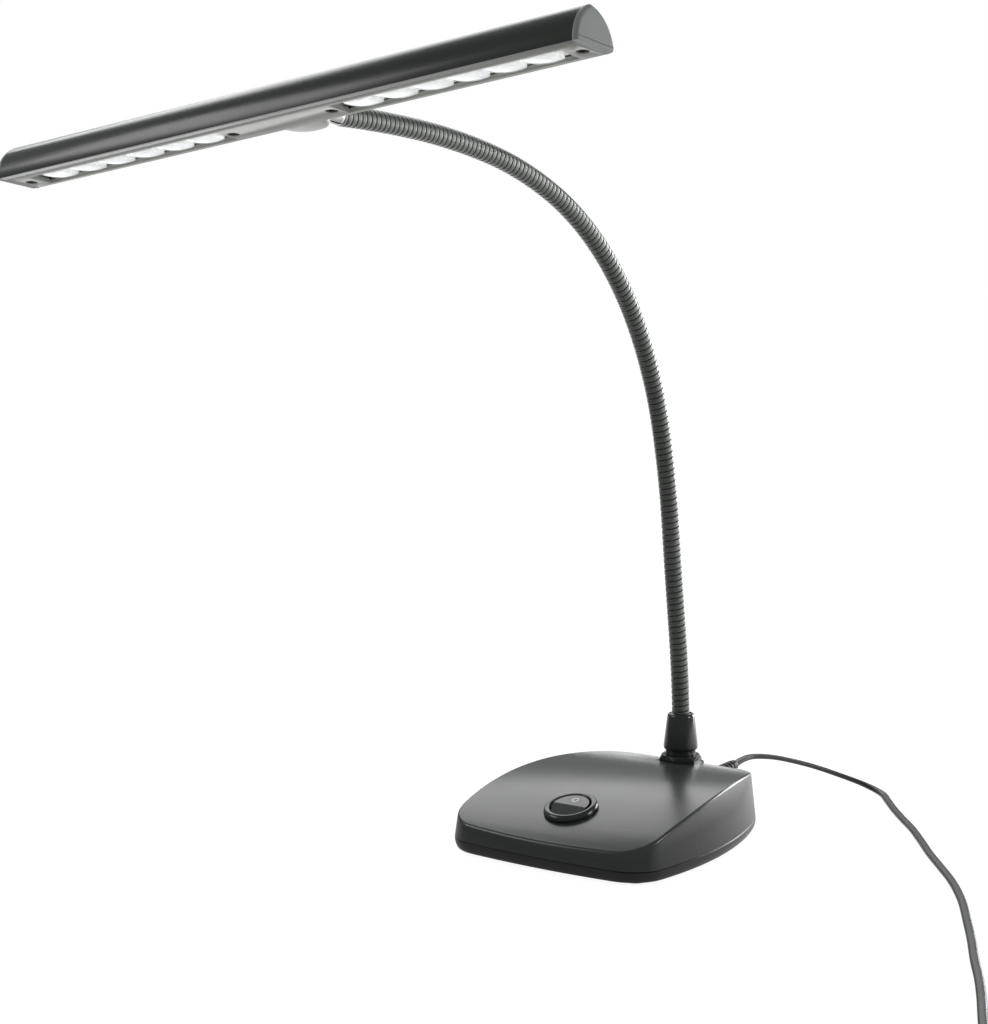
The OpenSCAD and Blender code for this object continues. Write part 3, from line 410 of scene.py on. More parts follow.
def metal(name, shade, rough, streak=(1, 1, 1), scale=900, wear=0.08):
    """Bare or plated metal with fine streaks."""
    finish = bpy.data.materials.new(name)
    finish.use_nodes = True
    nodes = finish.node_tree.nodes
    wire = finish.node_tree.links.new
    set_in(nodes["Principled BSDF"], Metallic=1)
    place = nodes.new("ShaderNodeTexCoord")
    pull = nodes.new("ShaderNodeMapping")
    set_in(pull, Scale=streak)
    wire(place.outputs["Object"], pull.inputs["Vector"])
    lines = nodes.new("ShaderNodeTexNoise")
    set_in(lines, Scale=scale, Detail=4)
    wire(pull.outputs["Vector"], lines.inputs["Vector"])
    gloss = nodes.new("ShaderNodeMapRange")
    set_in(gloss, To_Min=max(rough - wear, 0.02), To_Max=rough + wear)
    tones = [c * 0.85 for c in shade], shade
    return skinned(finish, lines.outputs["Fac"], tones, gloss, lines.outputs["Fac"],
                   strength=0.15, depth=0.004)


nickel = metal("nickel_pins", (0.72, 0.7, 0.66), 0.22, streak=(1, 1, 0.1))
dress(nickel, "pins", "plug_pins")

# ---------- Strain relief ----------
# A bend protector of soft black PVC, moulded onto the lead and snapped into the
# back wall. Its tapered sleeve is cut into rings, so that it bends.
SLEEVE_RINGS, RING_FIRST, RING_PITCH, RING_T = 5, 3.4, 2.6, 1.5
RING_R, RING_TAPER, SLEEVE_R, SLEEVE_TAPER = 3.6, 0.225, 2.95, 0.13
at_relief = (Matrix.Translation(RELIEF_AT)
             @ Matrix.Rotation(RELIEF_RISE - math.pi / 2, 4, "X"))
sleeve_marks = [(0, -4), (3.6, -4), (3.95, -3.6), (3.95, -2.8), (3, -2.6), (3, 0.5),
                (3.7, 0.5), (4.05, 0.85), (4.05, 1.7), (3.7, 2.1), (3, 2.2)]
for k in range(SLEEVE_RINGS):
    foot = RING_FIRST + k * RING_PITCH
    ring_r, sleeve_r = RING_R - k * RING_TAPER, SLEEVE_R - k * SLEEVE_TAPER
    sleeve_marks += [
        (sleeve_r, foot), (ring_r - 0.2, foot), (ring_r, foot + 0.2),
        (ring_r - 0.04, foot + RING_T - 0.2), (ring_r - 0.24, foot + RING_T),
        (sleeve_r - 0.02, foot + RING_T)]
sleeve_marks += [(2.3, 16.6), (2.25, 17.2), (2.0, 17.5), (0, 17.5)]
soft_pvc = moulded("soft_pvc", (0.016, 0.016, 0.017), 0.42, grain=0.6, depth=0.02)
make_piece("strain_sleeve", turned(sleeve_marks, at_relief, 40), soft_pvc, "base",
           ("strain_relief",), sharp=40)

# ---------- Base cover ----------
# The upper shell of the base: black ABS with a fine satin grain, 2.4 mm thick. Its
# plan bows on all four sides, its walls lean in, and its top rolls to a crest
# behind the middle. Four screws from below pull it onto the tray.
BASE_W, BELLY, SIDE_R, END_R, CORNER_R = 107, 22, 190, 360, 16
CREST_H, CREST_Y, TOP_R, SHELL_T, TRAY_LIFT = 28.9, 20, 209, 2.4, 1
LIP, TOP_EDGE_R = 0.25, 1.1
STRIPS_EACH_WAY, STRIP_W = 14, 4
PLAN_SIDES, RAY_FROM, RAY_TO, HALVINGS = 288, 20, 100, 30


def top_z(y):
    """The height of the base's rolled top."""
    return CREST_H - TOP_R + math.sqrt(TOP_R ** 2 - (y - CREST_Y) ** 2)


def plan_core(inset):
    """Four discs whose overlap, grown by the corners' radius, is the base's outline
    drawn in by inset, and the corners of that overlap."""
    shrink = CORNER_R + inset
    sides = [(Vector((s * (BASE_W / 2 - SIDE_R), -BELLY)), SIDE_R - shrink)
             for s in (1, -1)]
    ends = [(Vector((0, s * (BASE_D / 2 - END_R))), END_R - shrink) for s in (1, -1)]
    discs = sides + ends
    corners = []
    for side, side_r in sides:
        for end, end_r in ends:
            gap = end - side
            along = (side_r ** 2 - end_r ** 2 + gap.length_squared) / (2 * gap.length)
            off = math.sqrt(side_r ** 2 - along ** 2)
            axis = gap.normalized()
            for turn in (1, -1):
                p = side + axis * along + Vector((-axis.y, axis.x)) * off * turn
                if all((p - c).length <= r + 1e-2 for c, r in discs):
                    corners.append(p)
    return discs, corners


def plan_point(angle, discs, corners):
    """Where a ray from the middle meets the outline, found by halving the gap."""
    ray = Vector((math.cos(angle), math.sin(angle)))
    low, high = RAY_FROM, RAY_TO
    for _ in range(HALVINGS):
        half_way = (low + high) / 2
        p = ray * half_way
        reach = min((p - c).length for c in corners)
        for c, r in discs:
            q = c + (p - c).normalized() * r
            if (p - c).length > r and all((q - d).length <= s + 1e-3 for d, s in discs):
                reach = (p - c).length - r
        if all((p - c).length <= r for c, r in discs) or reach < CORNER_R:
            low = half_way
        else:
            high = half_way
    return ray * low


@functools.cache
def whole_ring(inset):
    """The outline's points at an inset of whole millimetres."""
    core = plan_core(inset)
    return [plan_point(2 * math.pi * k / PLAN_SIDES, *core) for k in range(PLAN_SIDES)]


@functools.cache
def plan_ring(inset):
    """The outline's points at any inset, blended from the whole ones on its two sides."""
    low = math.floor(inset)
    return [a.lerp(b, inset - low) for a, b in zip(whole_ring(low), whole_ring(low + 1))]


def on_plan(k, inset):
    """Point k of the outline, at an inset kept to steps of a twentieth."""
    return plan_ring(round(inset * 20) / 20)[k]


def set_ring(corners, placing):
    """Puts each corner of a ring where placing(k) says, k being its number round it."""
    for v in corners:
        k = round(math.atan2(v.co.y, v.co.x) / (2 * math.pi) * PLAN_SIDES) % PLAN_SIDES
        v.co = placing(k)


def raise_ring(shape, rim, placing):
    """Extrudes a rim of edges to where placing(k) says, and gives the new rim."""
    grown = bmesh.ops.extrude_edge_only(shape, edges=rim)["geom"]
    fresh = [g for g in grown if isinstance(g, bmesh.types.BMEdge)]
    corners = {v for e in fresh for v in e.verts}
    set_ring(corners, placing)
    return [e for e in fresh if all(v in corners for v in e.verts)]


def flat_ring(inset, z):
    """A level ring."""
    return lambda k: (*plan_ring(inset)[k], z)


def wall_ring(part):
    """A wall ring at a part of the way from the joint line up to the top's edge, whose
    height settles in six rounds."""
    def placing(k):
        z = CREST_H
        for _ in range(6):
            z = top_z(on_plan(k, (z - SPLIT_H) * TAN_DRAFT).y)
        z = SPLIT_H + (z - SPLIT_H) * part
        return (*on_plan(k, (z - SPLIT_H) * TAN_DRAFT), z)
    return placing


cover_shape = bmesh.new()
bmesh.ops.create_circle(cover_shape, segments=PLAN_SIDES, radius=BASE_D / 2)
set_ring(cover_shape.verts, flat_ring(LIP, SPLIT_H))
rim = raise_ring(cover_shape, cover_shape.edges[:], flat_ring(0, SPLIT_H + LIP))
rim = raise_ring(cover_shape, rim, wall_ring(0.5))
rim = raise_ring(cover_shape, rim, wall_ring(1))
top_faces = set(bmesh.ops.contextual_create(cover_shape, geom=rim)["faces"])
for k in range(-STRIPS_EACH_WAY, STRIPS_EACH_WAY + 1):
    flat = [f for f in cover_shape.faces if f in top_faces]
    around = {e for f in flat for e in f.edges} | {v for f in flat for v in f.verts}
    done = bmesh.ops.bisect_plane(
        cover_shape, geom=flat + list(around), dist=0.35, plane_co=(0, k * STRIP_W, 0),
        plane_no=(0, 1, 0))
    top_faces |= {g for g in done["geom"] if isinstance(g, bmesh.types.BMFace)}
top_faces = {f for f in cover_shape.faces if f in top_faces}
for v in {v for f in top_faces for v in f.verts}:
    v.co.z = top_z(v.co.y)
top_edge = [e for e in cover_shape.edges
            if sum(f in top_faces for f in e.link_faces) == 1]
round_off(cover_shape, top_edge, TOP_EDGE_R, 4)
bmesh.ops.recalc_face_normals(cover_shape, faces=cover_shape.faces)
NECK_BACK, HEX_R = 50.1, 16.6 / 2 / math.cos(math.radians(30))
SEAT_R, SEAT_RISE, SWITCH_Y = HEX_R + 1, 0.1, -36
NECK_HOLE_R, SWITCH_HOLE_R, RELIEF_HOLE_R = 4.15, 10.05, 3.1
seat_z = top_z(NECK_BACK) + SEAT_RISE
at_neck = Matrix.Translation((0, NECK_BACK, 0))
switch_slope = math.asin((CREST_Y - SWITCH_Y) / TOP_R)
at_switch = (Matrix.Translation((0, SWITCH_Y, top_z(SWITCH_Y)))
             @ Matrix.Rotation(switch_slope, 4, "X"))
cover_shape = machined(
    cover_shape,
    ("SOLIDIFY", dict(thickness=SHELL_T, offset=-1, use_rim=True)),
    ("join", rod(SEAT_R, seat_z - 4, seat_z, at_neck, 64)),
    ("cut", rod(SEAT_R, seat_z, seat_z + 6, at_neck, 64)),
    ("cut", rod(NECK_HOLE_R, 0, 40, at_neck)),
    ("cut", rod(SWITCH_HOLE_R, -12, 12, at_switch, 64)),
    ("cut", rod(RELIEF_HOLE_R, -10, 10, at_relief)))
satin_black = moulded("satin_black_abs", (0.028, 0.031, 0.0285), 0.24, grain=0.6,
                      depth=0.004, cloud=0.08, sheen=0.02)
make_piece("base_shell", cover_shape, satin_black, "base", ("base_cover",),
           sharp=28)

# ---------- Base tray ----------
# The lower shell of the same black ABS, coloured darker than the cover as painted
# shade. Its rim meets the cover at a fine joint line, and it rounds under to a floor
# with counterbored screw holes and five foot seats.
TRAY_RINGS = ((1.05, 1.35), (0.7, 1.96), (0.45, 2.7), (0.2, 3.5), (0.05, 4.6), (0, 5.5),
              (0.3, SPLIT_H - 0.02), (SHELL_T, SPLIT_H - 0.02),
              (SHELL_T, TRAY_LIFT + SHELL_T))
COVER_SCREWS = ((-27, -50), (27, -50), (-34, 36), (34, 36))
WEIGHT_SCREWS = ((-24, 8), (24, 8))
FOOT_SEATS = ((40, -47.5), (-40, -47.5), (28, 48.5), (-28, 48.5), (0, 0))
FOOT_R, FOOT_SUNK, HEAD_SUNK, FLOOR_IN = 6.1, 0.8, 1.2, 1.5
tray_shape = bmesh.new()
bmesh.ops.create_circle(tray_shape, segments=PLAN_SIDES, radius=BASE_D / 2, cap_ends=True)
set_ring(tray_shape.verts, flat_ring(FLOOR_IN, TRAY_LIFT))
rim = tray_shape.edges[:]
for inset, z in TRAY_RINGS:
    rim = raise_ring(tray_shape, rim, flat_ring(inset, z))
bmesh.ops.contextual_create(tray_shape, geom=rim)
bmesh.ops.recalc_face_normals(tray_shape, faces=tray_shape.faces)
tray_holes = []
for spots, head_r, shank_r in ((COVER_SCREWS, 3, 1.6), (WEIGHT_SCREWS, 3.2, 1.7)):
    for x, y in spots:
        at = Matrix.Translation((x, y, 0))
        tray_holes += [("cut", rod(head_r, -1, TRAY_LIFT + HEAD_SUNK, at)),
                       ("cut", rod(shank_r, -1, 9, at))]
for x, y in FOOT_SEATS:
    at = Matrix.Translation((x, y, 0))
    tray_holes.append(("cut", rod(FOOT_R, -1, TRAY_LIFT + FOOT_SUNK, at)))
tray_shape = machined(tray_shape, *tray_holes)
# painted shade: the cover's black ABS, coloured darker than the cover
tray_painted_shade = moulded("tray_abs_painted_shade", (0.007, 0.008, 0.0075), 0.3, grain=0.6, depth=0.005)
make_piece("tray_shell", tray_shape, tray_painted_shade, "base", ("base_tray",), sharp=35)
dress(moulded("foot_rubber", (0.022, 0.022, 0.022), 0.75, grain=0.8, depth=0.05),
      "feet", "foot_pads")

# ---------- Inside the base ----------
# A cast-iron weight on the tray's floor, a small driver board on two posts with its
# parts, the clamp for the lead, and the wires between lead, switch, board and neck.
iron = moulded("cast_iron", (0.1, 0.098, 0.095), 0.62, grain=1.4, depth=0.25, cloud=0.3)
set_in(iron.node_tree.nodes["Principled BSDF"], Metallic=0.7)
dress(iron, "weight", "ballast")
zinc = metal("zinc_steel", (0.6, 0.61, 0.63), 0.3, streak=(0.2, 1, 1))
dress(zinc, "screws", "base_screws", "ballast_screws", "board_screws", "bracket_screws")
dress(zinc, "steel", "neck_stud", "neck_washer", "neck_locknut")
dress(metal("brass_tags", (0.78, 0.6, 0.28), 0.28), "terminals", "switch_terminals")
dress(moulded("green_laminate", (0.03, 0.16, 0.07), 0.35, grain=0.8, depth=0.03),
      "board", "driver_board")
dress(moulded("board_part_cases", (0.03, 0.03, 0.034), 0.4), "board_parts", "driver_parts")
dress(black_abs, "lead", "lead_clamp")
dress(black_pvc, "lead", "supply_lead")
red_wire = moulded("red_wire_pvc", (0.5, 0.03, 0.03), 0.4, grain=0.8, depth=0.02)
dress(red_wire, "wire", "switch_leads", "riser_lead", "head_leads",
      *(f"neck_wire_{k}" for k in range(1, 10)))

# ---------- Switch ----------
# A snap-in round rocker switch of glossy black nylon. The rim is a rounded ring, and
# the rocker is a ball with a low roof that tips about a pin across the opening. A
# small white ring marks the back half of the roof as the off side.
BEAD_AT, BEAD_W, BEAD_H = (9.95, 0.55), 1.85, 2.05
ROCKER_R, RIDGE, ROCKER_LOW, THROW = 8.6, 3, -3, math.radians(14)
PIVOT_R, PIVOT_OFF, PIVOT_HALF = 0.9, -0.4, 9.3
MARK_R, MARK_HOLE, MARK_T, MARK_Y = 1.55, 1.1, 0.05, 4.4
gloss_black = moulded("gloss_black_nylon", (0.016, 0.016, 0.017), 0.16, grain=1.2,
                      depth=0.008, cloud=0.06, sheen=0.03)
rim_marks = [(0, -10.5), (9.3, -10.5), (9.9, -9.9), (9.9, 0.02), (11.5, 0.02)]
rim_marks += [(BEAD_AT[0] + BEAD_W * math.cos(a), BEAD_AT[1] + BEAD_H * math.sin(a))
              for a in (math.radians(d) for d in range(-8, 91, 7))]
rim_marks += [(9.6, 2.58), (9.25, 2.45), (9.02, 2.2), (8.92, 1.9), (8.9, -5.5), (0, -5.5)]
make_piece("switch_rim", turned(rim_marks, at_switch, 96), gloss_black, "base",
           ("switch_housing",), sharp=35)


def slice_off(shape, at, facing):
    """Cuts away all that lies beyond a plane, and closes the cut."""
    bmesh.ops.bisect_plane(
        shape, geom=shape.verts[:] + shape.edges[:] + shape.faces[:], dist=1e-5,
        plane_co=at, plane_no=facing, clear_outer=True)
    bmesh.ops.holes_fill(shape, edges=shape.edges[:], sides=0)


at_rocker = (at_switch @ Matrix.Translation((0, 0, PIVOT_OFF))
             @ Matrix.Rotation(THROW / 2, 4, "X"))
rocker_shape = bmesh.new()
bmesh.ops.create_uvsphere(rocker_shape, u_segments=96, v_segments=64, radius=ROCKER_R)
for side in (1, -1):
    slice_off(rocker_shape, (0, 0, RIDGE),
              (0, side * math.sin(THROW / 2), math.cos(THROW / 2)))
slice_off(rocker_shape, (0, 0, ROCKER_LOW), (0, 0, -1))
bmesh.ops.recalc_face_normals(rocker_shape, faces=rocker_shape.faces)
pivot = rod(PIVOT_R, -PIVOT_HALF, PIVOT_HALF, lie_x, 24)
rocker_shape = machined(rocker_shape, eased(0.22, 3, 12), ("join", pivot))
bmesh.ops.transform(rocker_shape, matrix=at_rocker, verts=rocker_shape.verts)
make_piece("rocker_ball", rocker_shape, gloss_black, "rocker",
           ("switch_rocker",), sharp=12)
mark_white = moulded("mark_white", (0.75, 0.77, 0.76), 0.5, grain=0.6, depth=0.01)
mark_shape = machined(rod(MARK_R, 0, MARK_T, sides=40),
                      ("cut", rod(MARK_HOLE, -1, 1, sides=40)))
on_roof = (at_rocker @ Matrix.Translation((0, 0, RIDGE))
           @ Matrix.Rotation(-THROW / 2, 4, "X") @ Matrix.Translation((0, MARK_Y, 0)))
bmesh.ops.transform(mark_shape, matrix=on_roof, verts=mark_shape.verts)
make_piece("off_mark", mark_shape, mark_white, "rocker")

# ---------- Neck root ----------
# A black-plated hexagon flange clamps the neck's threaded tube to the base, and a
# turned collar over it tapers up round the foot of the neck.
FLANGE_T, HEX_TURN, TUBE_R, COLLAR_LEN = 3.4, math.radians(12), 4.05, 19
COLLAR_MARKS = ((TUBE_R, 0), (6.55, 0), (6.8, 0.25), (6.8, 2.0), (6.86, 2.25),
                (7.5, 2.85), (7.64, 3.15), (7.7, 3.7), (7.7, 4.3), (6.25, 17.4),
                (6.12, 17.85), (5.9, 18.3), (5.5, 18.7), (4.9, 18.96), (4.6, COLLAR_LEN),
                (4.5, 18.8), (4.5, 13), (TUBE_R, 13), (TUBE_R, 0))
plated_black = moulded("black_plating", (0.02, 0.021, 0.021), 0.2, grain=1.0, depth=0.006,
                       cloud=0.1)
collar_foot = seat_z + FLANGE_T
collar_top = collar_foot + COLLAR_LEN
flange_shape = machined(
    rod(HEX_R, seat_z, collar_foot, at_neck @ Matrix.Rotation(HEX_TURN, 4, "Z"), 6),
    ("keep", rod(10.6, seat_z, collar_foot, at_neck, 96, tip=8.5)),
    ("cut", rod(TUBE_R, seat_z - 1, seat_z + 5, at_neck)), eased(0.25, 3, 25))
make_piece("hex_flange", flange_shape, plated_black, "base", ("neck_flange",),
           sharp=35)
collar_marks = [(r, collar_foot + z) for r, z in COLLAR_MARKS]
make_piece("neck_root_collar", turned(collar_marks, at_neck, 72), plated_black,
           "base", ("neck_collar",), sharp=40)

# ---------- Gooseneck ----------
# Eight millimetres thick: a round steel wire wound right-handed, with a three-sided
# wire pressed between its turns, blackened. The ribs show as broad bands with
# narrow dark grooves. Each length is drawn curving over one hinge of the CAD neck.
LINK_LEN, LINK_TURN = 45, (6.3, -1.4, 7.7, 15.4, 16.8, 17.5, 12.1, 6.7, 4)
NECK_SUNK, NECK_LEAN, BEND_REACH, TIP_HIDDEN = 5, 2.2, 14, 3
RIB_PITCH, RIB_SIDES = LINK_LEN / 17, 32
RIB_MARKS = ((0, 3.3), (0.06, 3.8), (0.2, 3.95), (0.6, 3.995), (1.15, 4.0), (1.7, 3.995),
             (2.14, 3.95), (2.28, 3.8), (2.34, 3.3), (2.4, 3.1), (2.58, 3.1),
             (RIB_PITCH, 3.3))


def move_on(y, z, lean, dist, turn):
    """Moves a point of the neck's middle on along an arc that turns by some degrees."""
    if abs(turn) < 1e-3:
        a = math.radians(lean)
        return y - dist * math.sin(a), z + dist * math.cos(a), lean
    r = math.degrees(dist / turn)
    a, b = math.radians(lean), math.radians(lean + turn)
    return (y + r * (math.cos(b) - math.cos(a)), z + r * (math.sin(b) - math.sin(a)),
            lean + turn)


link_feet = [(NECK_BACK, collar_top - NECK_SUNK, NECK_LEAN)]
for turn in LINK_TURN:
    link_feet.append(move_on(*link_feet[-1], LINK_LEN, turn))


def on_neck(dist):
    """The neck's middle and lean at a distance along it."""
    link = min(max(int(dist // LINK_LEN), 0), len(LINK_TURN) - 1)
    part = dist - link * LINK_LEN
    return move_on(*link_feet[link], part, LINK_TURN[link] * part / LINK_LEN)


def neck_length(first, turns, last=None):
    """A straight ribbed length wound from dist first, then laid along the neck."""
    shape = bmesh.new()
    line = [shape.verts.new((r, 0, first + z)) for z, r in RIB_MARKS]
    edges = [shape.edges.new(pair) for pair in zip(line, line[1:])]
    bmesh.ops.spin(shape, geom=line + edges, cent=(0, 0, 0), axis=(0, 0, 1),
                   dvec=(0, 0, RIB_PITCH / RIB_SIDES), angle=2 * math.pi * turns,
                   steps=turns * RIB_SIDES)
    bmesh.ops.remove_doubles(shape, verts=shape.verts, dist=1e-3)
    if last is not None:
        slice_off(shape, (0, 0, last), (0, 0, 1))
    bmesh.ops.holes_fill(shape, edges=shape.edges[:], sides=0)
    bmesh.ops.recalc_face_normals(shape, faces=shape.faces)
    if shape.calc_volume(signed=True) < 0:  # the wound ends can turn it inside out
        bmesh.ops.reverse_faces(shape, faces=shape.faces[:])
    for v in shape.verts:
        y, z, lean = on_neck(v.co.z)
        lean = math.radians(lean)
        v.co = (v.co.x, y + v.co.y * math.cos(lean), z + v.co.y * math.sin(lean))
    return shape


half = LINK_LEN / 2
blackened = moulded("blackened_steel", (0.14, 0.148, 0.14), 0.36, grain=2, depth=0.002,
                    cloud=0.2)
set_in(blackened.node_tree.nodes["Principled BSDF"], Metallic=0.6)
make_piece("neck_foot", neck_length(half - 9 * RIB_PITCH, 9), blackened, "base",
           ("neck_link_1",), sharp=40)
for k in range(8):
    hinge = (k + 1) * LINK_LEN
    length = make_piece(f"neck_length_{k + 1}", neck_length(hinge - half, 17), blackened,
                        None, (f"neck_link_{k + 2}",) if k < 7 else (), sharp=40)
    reach = [Vector((0, *on_neck(hinge + d)[:2])) * MM for d in (-BEND_REACH, BEND_REACH)]
    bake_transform(length)
neck_end = 9 * LINK_LEN
make_piece("neck_tip", neck_length(neck_end - half, 10, neck_end + TIP_HIDDEN), blackened,
           "head", ("neck_link_9",), sharp=40)

# ---------- Ferrule and bracket ----------
# A bright turned ferrule closes the neck, and its stem is held in the bore of a small
# cast bracket, painted black, that is screwed to the back of the bar. Its light grey
# is a painted reflection of the bright table below it.
HEAD_SWING, HEAD_LEAN = math.radians(8.65), math.radians(90 + 6.8)
STEM_REACH = 33.7
HEAD_TO_NECK = Vector((0, 5.5, -STEM_REACH))
FERRULE_MARKS = (
    (1.5, 0), (3.4, 0), (3.4, 2.9), (3.9, 3.1), (3.9, 3.8), (3.8, 4.1), (2.9, 10.4),
    (2.4, 10.5), (2.4, 10.9), (3.0, 11.0), (3.1, 11.1), (3.1, 11.8), (3.0, 11.95),
    (2.4, 12), (2.4, 21), (1.5, 21), (1.5, 0))
end_y, end_z, end_lean = link_feet[-1]
at_neck_end = (Matrix.Translation((0, end_y, end_z))
               @ Matrix.Rotation(math.radians(end_lean), 4, "X")
               @ Matrix.Rotation(HEAD_SWING, 4, "Z"))
at_head = (at_neck_end @ Matrix.Translation(-HEAD_TO_NECK)
           @ Matrix.Rotation(-HEAD_LEAN, 4, "X"))
to_neck = Matrix.Rotation(HEAD_LEAN, 4, "X") @ Matrix.Translation(HEAD_TO_NECK)
chrome = metal("bright_nickel", (0.8, 0.8, 0.79), 0.12, streak=(1, 1, 0.15), scale=500,
               wear=0.05)
make_piece("tip_ferrule", turned(FERRULE_MARKS, at_neck_end), chrome, "head",
           ("neck_ferrule",), sharp=25)

# The bar's section is the overlap of two discs, whose centres lie an arch in front of
# and behind its middle. The front one sits a little higher than the back one.
HEAD_R, HEAD_ARCH, HEAD_CENTRE = 14.4, 3.75, -1.6
ARCH_Z, ARCH_SKEW = -0.15, 0.6
HEEL_ANGLE = math.radians(-37)
HEEL = Vector((HEAD_CENTRE - HEAD_ARCH + HEAD_R - 3.45, 3))
HEEL_FACING = Vector((math.cos(HEEL_ANGLE), math.sin(HEEL_ANGLE)))
HEEL_SPARE = 3


def bar_solid(x0, x1, low=0.0, rounding=0.0):
    """The bar's section as a solid: two long drums' overlap, flat below, cut at the heel.
    The drums' far rims are rounded."""
    far = x1 - x0
    marks = [(0, 0), (HEAD_R, 0)]
    for a in (math.radians(d) for d in (range(0, 91, 15) if rounding else [90])):
        marks.append((HEAD_R - rounding * (1 - math.cos(a)),
                      far - rounding * (1 - math.sin(a))))
    marks.append((0, far))
    drums = []
    for side in (-1, 1):
        centre = (x0, HEAD_CENTRE + side * HEAD_ARCH, ARCH_Z + side * ARCH_SKEW)
        drums.append(turned(marks, Matrix.Translation(centre) @ lie_x, 288))
    shape = machined(drums[0], ("keep", drums[1]))
    heel_at = HEEL + HEEL_FACING * HEEL_SPARE
    slice_off(shape, (0, 0, low), (0, 0, -1))
    slice_off(shape, (0, *heel_at), (0, *HEEL_FACING))
    bmesh.ops.recalc_face_normals(shape, faces=shape.faces)
    return shape


BRACKET_W, BRACKET_FRONT, BRACKET_BACK = 19, 7.6, 20.4
BRACKET_LOW, BRACKET_TOP, BRACKET_R, BRACKET_EDGE_R = 1.4, 11.6, 8.5, 1.3
BRACKET_SCREW_X, BRACKET_SCREW_Z = 5.4, 3.9
SCREW_HOLE_R, SCREW_WELL_R, WELL_FROM = 1.2, 2.1, 14
GRUB_X, GRUB_Y, GRUB_R, GRUB_DEEP = 5.5, 10.5, 0.8, 1.8
STEM_R = 2.45
bracket_shape = block((-BRACKET_W / 2, BRACKET_FRONT, BRACKET_LOW),
                      (BRACKET_W / 2, BRACKET_BACK, BRACKET_TOP))
back_corners = [e for e in bracket_shape.edges
                if climbs(e) and all(v.co.y > BRACKET_BACK - 1 for v in e.verts)]
round_off(bracket_shape, back_corners, BRACKET_R, 14)
rims = [e for e in bracket_shape.edges
        if not climbs(e) and any(v.co.y >= BRACKET_FRONT + 0.1 for v in e.verts)]
round_off(bracket_shape, rims, BRACKET_EDGE_R, 5)
bracket_steps = [("cut", bar_solid(-30, 30, low=BRACKET_SCREW_Z))]
for x in (-BRACKET_SCREW_X, BRACKET_SCREW_X):
    at = (Matrix.Translation((x, 0, BRACKET_SCREW_Z))
          @ Matrix.Rotation(-math.pi / 2, 4, "X"))
    bracket_steps += [("cut", rod(SCREW_HOLE_R, 0, 40, at, 24)),
                      ("cut", rod(SCREW_WELL_R, WELL_FROM, 40, at, 32))]
bracket_steps.append(("cut", rod(STEM_R, 0, STEM_REACH, to_neck, 32)))
for x in (-GRUB_X, GRUB_X):
    at = Matrix.Translation((x, GRUB_Y, 0))
    bracket_steps.append(("cut", rod(GRUB_R, 0, GRUB_DEEP, at, 24)))
bracket_shape = machined(bracket_shape, *bracket_steps)
bmesh.ops.transform(bracket_shape, matrix=at_head, verts=bracket_shape.verts)
# painted reflection: the black bracket is coloured light grey for the bright table it
# mirrors from below
bracket_reflection_grey = moulded("black_casting_painted_reflection", (0.3, 0.306, 0.28), 0.33, grain=0.7, depth=0.008)
make_piece("bar_bracket", bracket_shape, bracket_reflection_grey, "head", ("neck_bracket",),
           sharp=30)

# ---------- Bar body ----------
# An aluminium extrusion with two curved sides that meet in a ridge, black anodised.
# Its open underside holds the light boards and the cover between two narrow lips.
BODY_X, CAP_X, BEYOND = 133.25, 135.25, 140
COVER_LOW, COVER_HIGH, COVER_T = -9, 7.6, 1.6
CHANNEL_FRONT, CHANNEL_BACK, CHANNEL_FROM, CHANNEL_TOP = -7.6, 6.4, 1, 6.4
cover_slot = block((-BEYOND, COVER_LOW, -1), (BEYOND, COVER_HIGH, COVER_T + 0.06))
light_channel = block((-BEYOND, CHANNEL_FRONT, CHANNEL_FROM),
                      (BEYOND, CHANNEL_BACK, CHANNEL_TOP))
bracket_notch = block((-BRACKET_W / 2 - 0.1, COVER_HIGH - 0.4, BRACKET_LOW),
                      (BRACKET_W / 2 + 0.1, 28, 4))
wire_hole = rod(2.2, STEM_REACH - 12, STEM_REACH + 4, to_neck, 32)
body_shape = machined(
    bar_solid(-BODY_X, BODY_X), ("cut", cover_slot), ("cut", light_channel),
    ("cut", bracket_notch), ("cut", wire_hole), eased(0.35, 3, 28))
bmesh.ops.transform(body_shape, matrix=at_head, verts=body_shape.verts)
anodised = moulded("black_anodised", (0.018, 0.0205, 0.0175), 0.26, grain=0.6, depth=0.003,
                   cloud=0.06, sheen=0.02)
make_piece("bar_extrusion", body_shape, anodised, "head", ("head_body",), sharp=20)

